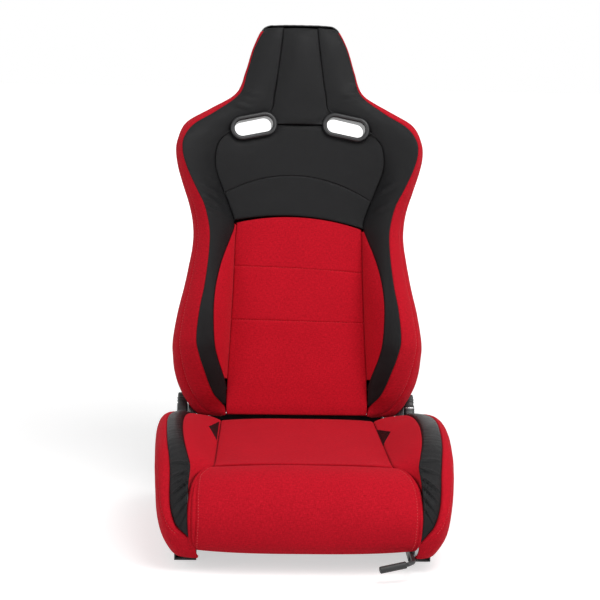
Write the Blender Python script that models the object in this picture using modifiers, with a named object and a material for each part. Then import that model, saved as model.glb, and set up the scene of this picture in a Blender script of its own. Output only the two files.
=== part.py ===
"""Reclining sport seat: upholstered base on slide rails and a hinged backrest with two harness openings.

Metres, +Z up. The seat faces -Y, X runs across it, and the floor under the rails is Z = 0.
Tables are in millimetres. Left and right are as seen from in front of the seat.
"""
import math

import bmesh
import bpy
from mathutils import Matrix, Vector

MM = 0.001

# ---- driving dimensions, in millimetres and degrees ----
ORIGIN_Y = -59.6          # moves the whole seat so that its box is centred on the origin
PIVOT_Y, PIVOT_Z = 215.0, 145.0    # recliner axis
RECLINE = 15.0            # lean of the backrest from upright
PIVOT_UP, PIVOT_FORWARD = -15.0, 17.0   # recliner axis, measured up and out from the back's lower rear edge

SEAM_GAP = 0.6            # space between two neighbouring pads
SEAM_DIP = 3.0            # how far a pad's edge turns down into its seam
SEAM_ROLL = 9.0           # width of that rolled edge
PAD_FLOOR_Z = 117.8       # underside of the seat pads, just above the webbing
BACK_PAD_REAR = 33.2      # rear of the back insert, just in front of the webbing

RAIL_X = 212.0
RAIL_WIDTH, RAIL_HEIGHT, RAIL_WALL = 40.0, 22.0, 2.0
RAIL_LENGTH, UPPER_RAIL_LENGTH = 380.0, 350.0
RAIL_MOUTH = 20.0
RAIL_LIP = 7.0
UPPER_RAIL_TOP = 28.0
FLOOR_HOLE_RADIUS, FLOOR_HOLE_FROM_END = 4.5, 16.0

PLATE_X, PLATE_THICKNESS = 176.0, 4.0
FLANGE_X, FLANGE_THICKNESS = (178.0, 228.0), 3.0
ARM_X, ARM_THICKNESS = 170.0, 4.0
PIVOT_HOLE_RADIUS, BAR_RADIUS = 5.6, 5.0
BOSS_X, BOSS_RADIUS = (180.4, 203.0), 16.0
LEVER_X, LEVER_ARM_X = (205.0, 238.0), 216.0
LEVER_HUB, LEVER_TIP, LEVER_REACH, LEVER_LEAN = 19.0, 8.0, 58.0, 20.0

TUBE_RADIUS = 11.0
FRONT_TUBE, REAR_TUBE = (-206.0, 104.0), (150.0, 104.0)
STRAP_WIDTH, STRAP_THICKNESS, STRAP_CLEAR = 50.0, 2.0, 0.35

HOOP_RADIUS, HOOP_FORWARD = 9.5, 21.0
HOOP_REACH = (185.0, 172.0)             # half widths of the hoop's two straight parts
SLOT_CENTRE = (92.0, 578.0, 62.0)       # across, up and forward, on the backrest
SLOT_ROLL, SLOT_TURN = 12.4, 6.0        # the inner end is higher, and the face turns in
SLOT_SIZE = (77.0, 31.0)                # clear opening
BEZEL_SIZE = (95.0, 47.0)               # outside of the moulded ring
LINER_WALL = 3.0
SLEEVE_LENGTH, SLEEVE_START, SLEEVE_RISE = 75.0, -4.0, 7.0    # the sleeve climbs a little to the rear
REAR_RING, REAR_RING_LEAN = -71.0, 0.03

ROD_X, ROD_Z, ROD_RADIUS = 190.0, 36.2, 4.0
GRIP_RADIUS = 6.4
HANDLE_BENDS = [(0, -60, 0), (0, -106, 0), (-9, -113, -1.6), (-57, -120, -10)]

RED_CLOTH = ((0.56, 0.018, 0.03), 0.85, 0.0)
BLACK_VINYL = ((0.022, 0.022, 0.024), 0.5, 0.0)
BLACK_PLASTIC = ((0.03, 0.03, 0.032), 0.4, 0.0)
BLACK_STEEL = ((0.025, 0.025, 0.027), 0.35, 0.6)
ZINC = ((0.55, 0.56, 0.58), 0.35, 1.0)
WEBBING = ((0.09, 0.09, 0.1), 0.8, 0.0)
RUBBER = ((0.035, 0.035, 0.038), 0.6, 0.0)

# Backrest lines, one row a station from the bottom to the top: (across, up, forward).
# A pad's inward depth follows each line. The side panel lies between INNER_SEAM and OUTER_SEAM.
INNER_SEAM = [
    (141.5, 25, 50), (141, 46, 55), (142, 68, 64), (150, 92, 78), (159, 118, 93), (165, 150, 108),
    (167, 205, 116), (164, 250, 111), (156, 292, 97), (146, 325, 84), (135, 355, 70), (128, 382, 61),
    (139, 418, 63), (152, 450, 67), (166, 490, 73), (167, 520, 75), (158, 548, 72), (128, 572, 66),
    (62, 606, 60), (51, 645, 59), (43, 700, 58), (37, 750, 55), (34, 781, 50),
]
OUTER_SEAM = [
    (145, 21, 50), (164, 41, 69), (176, 65, 84), (185, 90, 98), (194, 116, 110), (201, 150, 120),
    (196, 205, 124), (187, 252, 120), (181, 298, 113), (178, 335, 108), (178, 365, 105), (183, 394, 104),
    (191, 420, 105), (205, 447, 107), (224, 488, 109), (233, 520, 107), (231, 548, 100), (212, 577, 86),
    (167, 607, 73), (119, 645, 65), (103, 692, 60), (88, 742, 57), (66, 779, 51),
]
# The flank adds one station below and two above, where it runs under and over the back.
FLANK_FOOT = (140.6, 3, 45)
FLANK_TOP = [(42, 783, 50), (0, 784, 50)]
HEAD_CORNER, TOP_STATION = 22.75, 25.0  # stations of the corner where the vinyl cap begins, and of the middle
CORNER_GAP = 0.013                      # half the space between cap and flank, as a fraction of a station
REAR_EDGE = [
    (146, 2, 2), (183, 7, 2), (202, 30, 2), (214, 60, 1), (222, 90, 0), (226, 116, 0), (227, 150, 0),
    (219, 205, 0), (208, 252, 0), (200, 298, 0), (195, 335, 0), (193, 365, 0), (196, 394, 0), (202, 420, 0),
    (211, 447, 0), (225, 488, 0), (231, 520, 0), (230, 547, 0), (214, 580, 1), (172, 610, 2), (121, 644, 3),
    (102, 692, 3), (87, 742, 3), (66, 775, 4), (42, 780, 4), (0, 781, 4),
]
# Widest line of the flank: the backrest's outline from in front.
OUTLINE = [
    (150, 0), (193, 6), (215, 32), (231, 60), (240, 88), (244, 114), (246, 148), (237, 205), (226, 252),
    (217, 298), (211, 335), (209, 365), (212, 394), (218, 420), (227, 447), (240, 488), (246, 520),
    (244, 549), (227, 586), (179, 616), (128, 648), (109, 693), (94, 742), (74, 781), (45, 788), (0, 789),
]
INSERT_EDGE = [
    (139, 4, 45), (140, 22, 48), (139.5, 45, 49), (138.5, 68, 50), (137.5, 92, 50), (136, 118, 50),
    (134, 150, 50), (131.5, 205, 51), (129.5, 250, 52), (128, 292, 53), (127, 325, 55), (126, 355, 57),
    (124, 379, 59),
]
INSERT_CHANNELS = (190.0, 293.0)        # heights of the two sewn channels across the insert
INSERT_ARCH = 17.0
CHEST_CHANNEL = 436.0                   # height of the chest channel where it meets the side seam
CHEST_ARCH = 44.0
NECK_HEIGHT = 583.0

# Base lines, one row a station from the rear over the top to the front and down: (across, y, z).
THIGH_INNER = [
    (194, 168, 164), (204, 148, 182), (214, 100, 197), (220, 30, 208), (221, -50, 212), (217, -120, 206),
    (210, -165, 193), (204.5, -196, 180), (206.4, -229, 160), (208.2, -256, 129), (207.3, -268, 98),
    (205.6, -268, 76), (204.2, -264, 60),
]
THIGH_OUTER = [
    (228, 170, 160), (239, 150, 184), (251, 100, 197), (258, 30, 207), (258, -50, 209), (255, -120, 200),
    (250, -165, 184), (246, -198, 165), (243, -229, 142), (239, -251, 118), (231, -263, 94),
    (220, -266, 75), (209, -264, 57),
]
THIGH_WIDEST = [
    (248, 172, 125), (256, 150, 134), (267, 100, 138), (273.5, 30, 139), (274.5, -50, 139), (273, -120, 132),
    (271, -165, 121), (267, -200, 107), (260, -232, 92), (252, -252, 80), (240, -263, 68), (226.5, -265, 57),
    (210, -261, 47),
]
THIGH_HEM = [
    (238, 170, 58), (240, 150, 42), (241, 100, 31), (241, 30, 28), (241, -50, 27), (241, -120, 27),
    (240, -165, 27), (238, -195, 25), (234, -218, 24.5), (228, -236, 24.5), (221, -247, 25), (213, -253, 26),
    (207, -256, 28),
]
WELL_EDGE = [
    (148, 168, 152), (150, 148, 170), (152, 100, 172), (155, 30, 171), (158, -50, 170), (161, -120, 169),
    (165, -156, 172), (198, -184, 180),
]
SEAT_EDGE = [
    (145, 186, 130), (147, 176, 156), (149, 152, 169), (151, 100, 171), (154, 30, 170), (157, -50, 169),
    (160, -120, 168), (162, -158, 169),
]
ROLL_EDGE = [
    (164, -163, 170), (181, -173, 181), (197, -192, 183), (205, -226, 164), (207, -255, 130),
    (206, -268, 98), (203, -266, 60), (196, -255, 42),
]
ROLL_CENTRE = [
    (0, -165, 172), (0, -183, 186), (0, -206, 191), (0, -243, 178), (0, -270, 146), (0, -284, 104),
    (0, -281, 60), (0, -262, 36),
]
ROLL_BACK = [
    (-165, 118), (-181, 118), (-203, 118), (-222, 117), (-223, 103), (-223, 86), (-223, 66), (-227, 49),
]
FOLD_HUB = (-190.0, 100.0)              # the base's pads turn round this line at the front
PAD_DEPTH = 30.0
THIGH_ROWS = [0, 0.35, 1, 2, 3, 4, 5, 6, 6.7, 7.2, 7.8, 8.5, 9.2, 10, 10.8, 11.5, 12]


# ---- small tools ----
def clear_scene():
    for obj in list(bpy.data.objects):
        bpy.data.objects.remove(obj, do_unlink=True)


def new_collection(name):
    group = bpy.data.collections.new(name)
    bpy.context.scene.collection.children.link(group)
    return group


def new_empty(name, location, parent=None, turn_x=0.0):
    empty = bpy.data.objects.new(name, None)
    empty.location = location
    empty.rotation_euler = (turn_x, 0.0, 0.0)
    empty.parent = parent
    PARTS.objects.link(empty)
    return empty


def material(name, finish):
    found = bpy.data.materials.get(name)
    if found:
        return found
    colour, roughness, metallic = finish
    made = bpy.data.materials.new(name)
    made.use_nodes = True
    shader = made.node_tree.nodes["Principled BSDF"]
    shader.inputs["Base Color"].default_value = (*colour, 1.0)
    shader.inputs["Roughness"].default_value = roughness
    shader.inputs["Metallic"].default_value = metallic
    return made


def place(name, mesh, finish, parent, smooth=35.0):
    """Put a mesh in the scene as a sub-part with its own material."""
    obj = bpy.data.objects.new(name, mesh)
    mesh.materials.clear()
    mesh.materials.append(material(name + "_finish", finish))
    mesh.shade_smooth()
    mesh.set_sharp_from_angle(angle=math.radians(smooth))
    obj.parent = parent
    PARTS.objects.link(obj)
    return obj


def mesh_from(bm, name):
    mesh = bpy.data.meshes.new(name)
    bm.to_mesh(mesh)
    bm.free()
    return mesh


def cut(obj, cutter, operation="DIFFERENCE"):
    """Apply a Boolean with a cutter that stays out of the model."""
    tool = obj.modifiers.new("cut_" + cutter.name, "BOOLEAN")
    tool.operation = operation
    tool.solver = "EXACT"
    tool.object = cutter


def cutter_from(name, mesh, parent):
    obj = bpy.data.objects.new(name, mesh)
    obj.parent = parent
    obj.hide_render = True
    obj.display_type = "WIRE"
    CUTTERS.objects.link(obj)
    return obj


def mirrored(points):
    return [Vector((-p.x, p.y, p.z)) for p in points]


def smooth_line(points):
    """A smooth curve through the points, read at 0, 1, 2... and between (Catmull-Rom)."""
    knots = [Vector(p) for p in points]

    def at(t):
        i = min(max(int(math.floor(t)), 0), len(knots) - 2)
        f = t - i
        a, b = knots[i], knots[i + 1]
        before = knots[i - 1] if i else 2 * a - b
        after = knots[i + 2] if i + 2 < len(knots) else 2 * b - a
        return 0.5 * (2 * a + (b - before) * f + (2 * before - 5 * a + 4 * b - after) * f * f
                      + (3 * a - before - 3 * b + after) * f ** 3)

    return at


def row_where(line, axis, value, last):
    """The station at which a rising line reaches a value, by halving."""
    low, high = 0.0, float(last)
    for _ in range(40):
        middle = (low + high) / 2
        if line(middle)[axis] < value:
            low = middle
        else:
            high = middle
    return (low + high) / 2


# ---- frames: from table coordinates to each parent's local metres ----
def back_local(p):
    """Backrest (across, up, forward) to the recliner empty's own axes."""
    return Vector((p[0], PIVOT_FORWARD - p[2], p[1] - PIVOT_UP)) * MM


def base_local(p):
    return Vector(p) * MM


# ---- padded panels ----
def across_steps(width, count, edge):
    """Fractions across a panel: a seam gap, a narrow rolled step, even steps, and back again."""
    gap = min(SEAM_GAP / 2 / width, 0.1)
    roll = min(edge / width, 0.3)
    inner = [roll + (1 - 2 * roll) * k / count for k in range(count + 1)]
    return [gap] + inner + [1 - gap]


def panel(name, low, high, rows, count, to_local, finish, parent, crown=None, inner_crown=None,
          power=(2.0, 2.0), bow=None, dips=None, edge=SEAM_ROLL, turn_row=None):
    """A closed pad between two seam lines.

    low and high give a row's seam point and the inward depth there. crown and inner_crown give the bulge in
    the middle of the outer and inner face, power how square the bulge is on either side of the middle, bow
    shifts the middle of a row, and dips gives how far a row sinks.
    """
    outer, inner = [], []
    for number, t in enumerate(rows):
        (a, a_in), (b, b_in) = low(t), high(t)
        bulge = crown(t) if crown else Vector((0, 0, 0))
        inner_bulge = inner_crown(t) if inner_crown else Vector((0, 0, 0))
        lift = bow(t) if bow else Vector((0, 0, 0))
        row_dip = dips[number] if dips else 0.0
        steps = across_steps((b - a).length, count, edge)
        outer_row, inner_row = [], []
        for k, s in enumerate(steps):
            at_seam = k in (0, len(steps) - 1)
            q = 1.0 if at_seam else abs(2 * s - 1)
            full = 1 - q ** power[s > 0.5]
            inward = a_in.lerp(b_in, s)
            base = a.lerp(b, s) + lift * (1 - q * q)
            dip = max(SEAM_DIP if at_seam else 0.0, row_dip)
            outer_row.append(to_local(base + bulge * full + inward.normalized() * dip))
            inner_row.append(to_local(base + inner_bulge * full + inward))
        outer.append(outer_row)
        inner.append(inner_row)
    return place(name, closed_grid(name, outer, inner, turn_row), finish, parent, 40.0)


def closed_grid(name, outer, inner, turn_row=None):
    """Join two matching grids of points into one closed solid.

    Both neighbours of a seam split its wall along the same diagonals, so the twisted walls don't cross. From
    turn_row on, the rows run back along the seams, and the diagonals turn with them.
    """
    bm = bmesh.new()
    front = [[bm.verts.new(p) for p in row] for row in outer]
    back = [[bm.verts.new(p) for p in row] for row in inner]
    last_row, last_col = len(outer) - 1, len(outer[0]) - 1
    for i in range(last_row):
        for j in range(last_col):
            bm.faces.new((front[i][j], front[i][j + 1], front[i + 1][j + 1], front[i + 1][j]))
            bm.faces.new((back[i][j], back[i + 1][j], back[i + 1][j + 1], back[i][j + 1]))
    for j in (0, last_col):
        for i in range(last_row):
            here, there = (i + 1, i) if turn_row is not None and i >= turn_row else (i, i + 1)
            bm.faces.new((front[here][j], front[there][j], back[there][j]))
            bm.faces.new((front[here][j], back[there][j], back[here][j]))
    for i in (0, last_row):
        for j in range(last_col):
            bm.faces.new((front[i][j], front[i][j + 1], back[i][j + 1], back[i][j]))
    bmesh.ops.recalc_face_normals(bm, faces=bm.faces)
    return mesh_from(bm, name)


def on_side(line, side):
    """The same seam line on the right (side 1) or the left (side -1)."""

    def at(t):
        point, inward = line(t)
        return Vector((point.x * side, point.y, point.z)), Vector((inward.x * side, inward.y, inward.z))

    return at


def sided(vector_of, side):
    def at(t):
        v = vector_of(t)
        return Vector((v.x * side, v.y, v.z))

    return at


def stations_between(rows, first, last):
    return [t for t in rows if first <= t <= last]


def end_dips(rows):
    return [SEAM_DIP if k in (0, len(rows) - 1) else 0.0 for k in range(len(rows))]


# ---- backrest seams with their depths ----
def turned_in(line, t):
    """Unit direction into the back at right angles to a line that runs up the right side."""
    step = line(t + 0.01) - line(t - 0.01)
    return Vector((-step.y, step.x, 0)).normalized()


SIDE_LAST = len(INNER_SEAM) - 1
inner_seam_line = smooth_line(INNER_SEAM)
flank_front_line = smooth_line([FLANK_FOOT] + OUTER_SEAM + FLANK_TOP)
rear_edge_line = smooth_line(REAR_EDGE)
outline_line = smooth_line([(x, up, 0) for x, up in OUTLINE])
insert_edge_line = smooth_line(INSERT_EDGE)

# Every pad along a seam is cut at the same stations, so that neighbours meet face to face.
BOLSTER_FIRST, BOLSTER_LAST = 2.3, 10.8
CHEST_FIRST = row_where(inner_seam_line, 1, 381.5, SIDE_LAST)
CHEST_ROW = row_where(inner_seam_line, 1, CHEST_CHANNEL, SIDE_LAST)
NECK_ROW = row_where(inner_seam_line, 1, NECK_HEIGHT, SIDE_LAST)
INSERT_LAST = len(INSERT_EDGE) - 1
BACK_ROWS = [0, 0.7, 1.5, 2.3, 3, 4, 5, 6, 7, 8, 9, 10, 10.8, CHEST_FIRST, 11.5, CHEST_ROW - 0.25, CHEST_ROW,
             CHEST_ROW + 0.25, 13.7, 14.6, 15.4, 16.2, NECK_ROW - 0.14, NECK_ROW - 0.02, NECK_ROW + 0.02,
             NECK_ROW + 0.14, 18.2, 19, 20, 21, HEAD_CORNER - 1, 21.93]


def inner_seam(t):
    return inner_seam_line(t), Vector((2.0, 0, -24.0 + 5.0 * min(max(t - 21, 0), 1)))


def flank_front(t):
    """Front edge of the flank; between stations 1 and 23 it is also the side panel's outer edge."""
    inside, edge = inner_seam_line(min(max(t - 1, 0), SIDE_LAST)), flank_front_line(t)
    lean = min(8.0, 0.25 * (edge - inside).length) * (1 - 0.9 * min(max(t - SIDE_LAST, 0), 1))
    inward = turned_in(flank_front_line, t)
    if t < 1:
        inward = inward.lerp(Vector((0, 1, 0)), 1 - t)
    return edge, inward * lean + Vector((0, 0, -20.0))


def outer_seam(t):
    return flank_front(t + 1)


def rear_edge(t):
    return rear_edge_line(t), turned_in(rear_edge_line, t) * 5.0 + Vector((0, 0, 8.0))


def insert_edge(t):
    point = insert_edge_line(t)
    return point, Vector((0, 0, BACK_PAD_REAR - point.z))


def inner_bolster_edge(t):
    point = insert_edge_line(t) + Vector((0.3, 0, 0))
    return point, Vector((0, 0, BACK_PAD_REAR - point.z))


def flank_bulge(t):
    front, rear, widest = flank_front_line(t), rear_edge_line(t), outline_line(t)
    return Vector((widest.x, widest.y, (front.z + rear.z) / 2)) - (front + rear) / 2


def flank_inner_bulge(t):
    (front, front_in), (rear, rear_in), widest = flank_front(t), rear_edge(t), outline_line(t)
    wall = turned_in(outline_line, t) * 15.0
    middle = (front + front_in + rear + rear_in) / 2
    return Vector((widest.x + wall.x, widest.y + wall.y, middle.z)) - middle


def back_flank(side, name, parent):
    rows = [0.0, 0.4] + [t + 1 for t in BACK_ROWS if t + 1 < HEAD_CORNER] + [HEAD_CORNER - CORNER_GAP]
    return panel(name, on_side(flank_front, side), on_side(rear_edge, side), rows, 3, back_local, RED_CLOTH,
                 parent, crown=sided(flank_bulge, side), inner_crown=sided(flank_inner_bulge, side),
                 power=(2.4, 2.4))


def head_cap(parent):
    """Vinyl over the top of the head, from one corner to the other."""
    reach = TOP_STATION - HEAD_CORNER - CORNER_GAP
    half = [0.6, 1.0, 1.15, 2.0, 2.07, reach]
    rows = [-v for v in reversed(half)] + [0.0] + half

    def over(line):
        return lambda v: on_side(line, 1 if v > 0 else -1)(TOP_STATION - abs(v))

    def bulge(vector_of):
        return lambda v: sided(vector_of, 1 if v > 0 else -1)(TOP_STATION - abs(v))

    return panel("head_cap", over(flank_front), over(rear_edge), rows, 3, back_local, BLACK_VINYL, parent,
                 crown=bulge(flank_bulge), inner_crown=bulge(flank_inner_bulge), power=(2.4, 2.4),
                 turn_row=len(half))


def side_panel(side, name, parent):
    def crown(t):
        width = (outer_seam(t)[0] - inner_seam_line(t)).length
        return Vector((-0.3, 0, 1.0)).normalized() * min(0.07 * width, 5.0)

    return panel(name, on_side(inner_seam, side), on_side(outer_seam, side), BACK_ROWS, 2, back_local,
                 BLACK_VINYL, parent, crown=sided(crown, side), dips=end_dips(BACK_ROWS))


def inner_bolster(side, name, parent):
    """The cloth slope from the insert up to the side panel; both ends run out to a point."""
    rows = stations_between(BACK_ROWS, BOLSTER_FIRST, BOLSTER_LAST)

    def low(t):
        return inner_bolster_edge(t + 1)

    def crown(t):
        reach = math.sin(math.pi * (t - BOLSTER_FIRST) / (BOLSTER_LAST - BOLSTER_FIRST))
        return Vector((-0.8, 0, 0.6)) * 6.0 * max(reach, 0.0)

    return panel(name, on_side(low, side), on_side(inner_seam, side), rows, 2, back_local, RED_CLOTH, parent,
                 crown=sided(crown, side), dips=end_dips(rows), edge=6.0)


def full_width(line):
    """Mirror a right seam line, as the left edge of a panel that spans the seat."""

    def at(t):
        point, inward = line(t)
        return Vector((-point.x, point.y, point.z)), Vector((-inward.x, inward.y, inward.z))

    return at


def back_insert(parent):
    channels = [row_where(insert_edge_line, 1, up, INSERT_LAST) for up in INSERT_CHANNELS]
    beside_bolsters = [t + 1 for t in stations_between(BACK_ROWS, BOLSTER_FIRST, BOLSTER_LAST)]
    rows = [0.0, 0.4, 2.0] + beside_bolsters + [12.0]
    for t in channels:
        rows += [t - 0.2, t, t + 0.2]
    rows = sorted(t for t in rows if t in channels or min(abs(t - c) for c in channels) > 0.19)
    dips = [SEAM_DIP if t in (0.0, 12.0, *channels) else 0.0 for t in rows]

    def bow(t):
        return Vector((0, INSERT_ARCH * max(0.0, (t - 8.0) / (INSERT_LAST - 8.0)) ** 1.5, 0))

    def crown(t):
        return Vector((0, 0, 5.0))

    return panel("back_insert", full_width(insert_edge), insert_edge, rows, 6, back_local, RED_CLOTH, parent,
                 crown=crown, power=(4.0, 4.0), bow=bow, dips=dips)


def chest_pad(parent):
    """Vinyl pad from the insert's arched top to the crease between the harness openings."""
    rows = stations_between(BACK_ROWS, CHEST_FIRST, NECK_ROW - 0.01)
    dips = [SEAM_DIP if t in (rows[0], CHEST_ROW, rows[-1]) else 0.0 for t in rows]

    def arch(t):
        up = inner_seam_line(t).y
        if up < CHEST_CHANNEL:
            rise = INSERT_ARCH + (CHEST_ARCH - INSERT_ARCH) * (up - 381.5) / (CHEST_CHANNEL - 381.5)
        else:
            rise = CHEST_ARCH * (1 - (up - CHEST_CHANNEL) / (NECK_HEIGHT - CHEST_CHANNEL)) ** 1.2
        return Vector((0, max(rise, 0.0), 0))

    def hollow(t):
        return Vector((0, 0, 59.0 - inner_seam_line(t).z))

    return panel("chest_pad", full_width(inner_seam), inner_seam, rows, 6, back_local, BLACK_VINYL, parent,
                 crown=hollow, inner_crown=hollow, bow=arch, dips=dips)


def head_pad(parent):
    rows = stations_between(BACK_ROWS, NECK_ROW + 0.01, SIDE_LAST)
    bottom = rows[0]

    def swell(t):
        part = min(max((t - bottom) / (SIDE_LAST - bottom), 0.0), 1.0)
        return Vector((0, 0, 1.0)) * (1.0 + 7.0 * math.sin(math.pi * part) ** 0.7)

    def over_top(t):
        return Vector((0, 1.0 * max(0.0, t - SIDE_LAST + 1), 0))

    return panel("head_pad", full_width(inner_seam), inner_seam, rows, 5, back_local, BLACK_VINYL, parent,
                 crown=swell, bow=over_top, dips=end_dips(rows))


def back_cover(parent):
    """Rear panel inside the flanks' rear edge, slightly domed."""
    rows = [t + 1 for t in BACK_ROWS] + [23, 23.85]

    def dome(t):
        width = rear_edge_line(t).x
        return Vector((0, 0, -1.0)) * min(10.0, 0.06 * width)

    return panel("back_cover", full_width(rear_edge), rear_edge, rows, 3, back_local, BLACK_VINYL, parent,
                 crown=dome, inner_crown=dome, power=(2.5, 2.5))


def back_skirt(parent):
    """Vinyl flap that hangs under the back cover and hides the recliner rod."""
    outline = [(-166, -14), (166, -14), (166, 1.2), (140, 1.2),
               (140, 6.4), (-140, 6.4), (-140, 1.2), (-166, 1.2)]
    mesh = outline_solid("back_skirt", outline, 3.5)
    mesh.transform(Matrix.Translation(back_local((0, 0, 3.2))) @ Matrix.Rotation(math.radians(90), 4, "X"))
    return place("back_skirt", mesh, BLACK_VINYL, parent)


# ---- base seams with their depths ----
def towards_hub(point, length):
    """Depth into a base pad: straight down along the top, and towards the fold line at the front."""
    if point.y > FOLD_HUB[0]:
        return Vector((0, 0, -length))
    inward = Vector((0, FOLD_HUB[0] - point.y, FOLD_HUB[1] - point.z))
    return inward.normalized() * length


thigh_inner_line = smooth_line(THIGH_INNER)
thigh_outer_line = smooth_line(THIGH_OUTER)
thigh_widest_line = smooth_line(THIGH_WIDEST)
thigh_hem_line = smooth_line(THIGH_HEM)
well_edge_line = smooth_line(WELL_EDGE)
seat_edge_line = smooth_line(SEAT_EDGE)
roll_edge_line = smooth_line(ROLL_EDGE)
roll_centre_line = smooth_line(ROLL_CENTRE)
roll_back_line = smooth_line([(0, y, z) for y, z in ROLL_BACK])


def strip_lean(t):
    return min(1.0, (thigh_outer_line(t) - thigh_inner_line(t)).length / 30.0)


def thigh_inner(t):
    point = thigh_inner_line(t)
    return point, towards_hub(point, PAD_DEPTH) + Vector((2.0 * strip_lean(t), 0, 0))


def thigh_outer(t):
    point = thigh_outer_line(t)
    return point, towards_hub(point, PAD_DEPTH * 0.8) + Vector((-5.0 * strip_lean(t), 0, 0))


def thigh_hem(t):
    near_tip = min(max((t - 8) / 3, 0), 1)
    return thigh_hem_line(t), Vector((-7.5 + 5.0 * near_tip, 4.0 * min(max(t - 7, 0), 1), 5.0))


def well_edge(t):
    point = well_edge_line(t)
    return point, Vector((0, 0, PAD_FLOOR_Z - point.z))


def seat_edge(t):
    point = seat_edge_line(t)
    return point, Vector((0, 0, PAD_FLOOR_Z - point.z))


def thigh_flank_bulge(t):
    return thigh_widest_line(t) - (thigh_outer_line(t) + thigh_hem_line(t)) / 2


def thigh_flank_inner_bulge(t):
    (top, top_in), (hem, hem_in) = thigh_outer(t), thigh_hem(t)
    near_tip = min(max((t - 7) / 3, 0), 1)
    wall = Vector((-14.0 + 7.0 * near_tip, 8.0 * near_tip, 0))
    return (thigh_widest_line(t) + wall) - (top + top_in + hem + hem_in) / 2


def thigh_flank(side, name, parent):
    return panel(name, on_side(thigh_outer, side), on_side(thigh_hem, side), THIGH_ROWS, 5, base_local,
                 RED_CLOTH, parent, crown=sided(thigh_flank_bulge, side),
                 inner_crown=sided(thigh_flank_inner_bulge, side), power=(4.0, 2.6))


def thigh_strip(side, name, parent):
    def crown(t):
        return -towards_hub(thigh_inner_line(t), 1.0) * 3.0 * strip_lean(t)

    return panel(name, on_side(thigh_inner, side), on_side(thigh_outer, side), THIGH_ROWS, 2, base_local,
                 BLACK_VINYL, parent, crown=sided(crown, side), dips=end_dips(THIGH_ROWS), edge=6.0)


def thigh_slope(side, name, parent):
    """Cloth slope from the seat's well up to the strip; it runs out to a point beside the roll."""
    rows = stations_between(THIGH_ROWS, 0, 6.7)

    def crown(t):
        return Vector((-0.6, 0, 0.8)) * 5.0 * max(0.0, 1 - t / 7)

    return panel(name, on_side(well_edge, side), on_side(thigh_inner, side), rows, 3, base_local, RED_CLOTH,
                 parent, crown=sided(crown, side), dips=end_dips(rows), edge=7.0)


def seat_insert(parent):
    rows = THIGH_ROWS[:8] + [6.75, 7]

    def crown(t):
        return Vector((0, 0, 1)) * (1.0 + 3.5 * min(t, 2.0) / 2)

    return panel("seat_insert", full_width(seat_edge), seat_edge, rows, 6, base_local, RED_CLOTH, parent,
                 crown=crown, power=(4.0, 4.0), dips=end_dips(rows))


def roll_edge(t):
    point, back = roll_edge_line(t), roll_back_line(t)
    return point, Vector((0, back.y - point.y, back.z - point.z))


def front_roll(parent):
    rows = [0, 0.35, 1, 1.6, 2.2, 3, 3.7, 4.4, 5.1, 5.8, 6.6, 7]

    def crown(t):
        centre, edge = roll_centre_line(t), roll_edge_line(t)
        return Vector((0, centre.y - edge.y, centre.z - edge.z))

    return panel("front_roll", full_width(roll_edge), roll_edge, rows, 6, base_local, RED_CLOTH, parent,
                 crown=crown, power=(3.0, 3.0), dips=end_dips(rows))


# ---- rigid pieces ----
def tube(name, points, radius, finish, parent, resolution=3):
    """A round bar or tube along a list of points, with filled ends."""
    data = bpy.data.curves.new(name, "CURVE")
    data.dimensions = "3D"
    data.bevel_depth = radius * MM
    data.bevel_resolution = resolution
    data.use_fill_caps = True
    run = data.splines.new("POLY")
    run.points.add(len(points) - 1)
    for knot, p in zip(run.points, points):
        knot.co = (*p, 1.0)
    obj = bpy.data.objects.new(name, data)
    data.materials.append(material(name + "_finish", finish))
    obj.parent = parent
    PARTS.objects.link(obj)
    return obj


def rounded_path(corners, radius, steps=4):
    """Corner points joined by straight runs, each bend an arc of the given radius."""
    knots = [Vector(p) for p in corners]
    path = [knots[0]]
    for before, corner, after in zip(knots, knots[1:], knots[2:]):
        back, ahead = (before - corner).normalized(), (after - corner).normalized()
        half = back.angle(ahead) / 2
        reach = radius / math.tan(half)
        start, end = corner + back * reach, corner + ahead * reach
        centre = corner + (back + ahead).normalized() * radius / math.sin(half)
        for k in range(steps + 1):
            chord = start.lerp(end, k / steps) - centre
            path.append(centre + chord.normalized() * radius)
    return path + [knots[-1]]


def outline_solid(name, outline, thickness, holes=()):
    """A flat outline in the local XY plane, extruded both ways; holes are (x, y, radius)."""
    data = bpy.data.curves.new(name, "CURVE")
    data.dimensions = "2D"
    data.fill_mode = "BOTH"
    data.extrude = thickness * MM / 2
    loops = [outline]
    for x, y, radius in holes:
        loops.append([(x + radius * math.cos(math.tau * k / 16), y + radius * math.sin(math.tau * k / 16))
                      for k in range(16)])
    for loop in loops:
        run = data.splines.new("POLY")
        run.points.add(len(loop) - 1)
        run.use_cyclic_u = True
        for knot, (x, y) in zip(run.points, loop):
            knot.co = (x * MM, y * MM, 0.0, 1.0)
    holder = bpy.data.objects.new(name + "_outline", data)
    PARTS.objects.link(holder)
    graph = bpy.context.evaluated_depsgraph_get()
    mesh = bpy.data.meshes.new_from_object(holder.evaluated_get(graph))
    bpy.data.objects.remove(holder, do_unlink=True)
    bm = bmesh.new()
    bm.from_mesh(mesh)
    bmesh.ops.remove_doubles(bm, verts=bm.verts, dist=1e-6)
    bmesh.ops.recalc_face_normals(bm, faces=bm.faces)
    bm.to_mesh(mesh)
    bm.free()
    return mesh


def cross_plate(name, outline, x_low, x_high, finish, parent, holes=()):
    """A plate in the YZ plane between two X positions; the outline is in (y, z)."""
    mesh = outline_solid(name, outline, x_high - x_low, holes)
    upright = Matrix(((0, 0, 1, (x_low + x_high) / 2 * MM), (1, 0, 0, 0), (0, 1, 0, 0), (0, 0, 0, 1)))
    mesh.transform(upright)
    return place(name, mesh, finish, parent)


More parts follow.
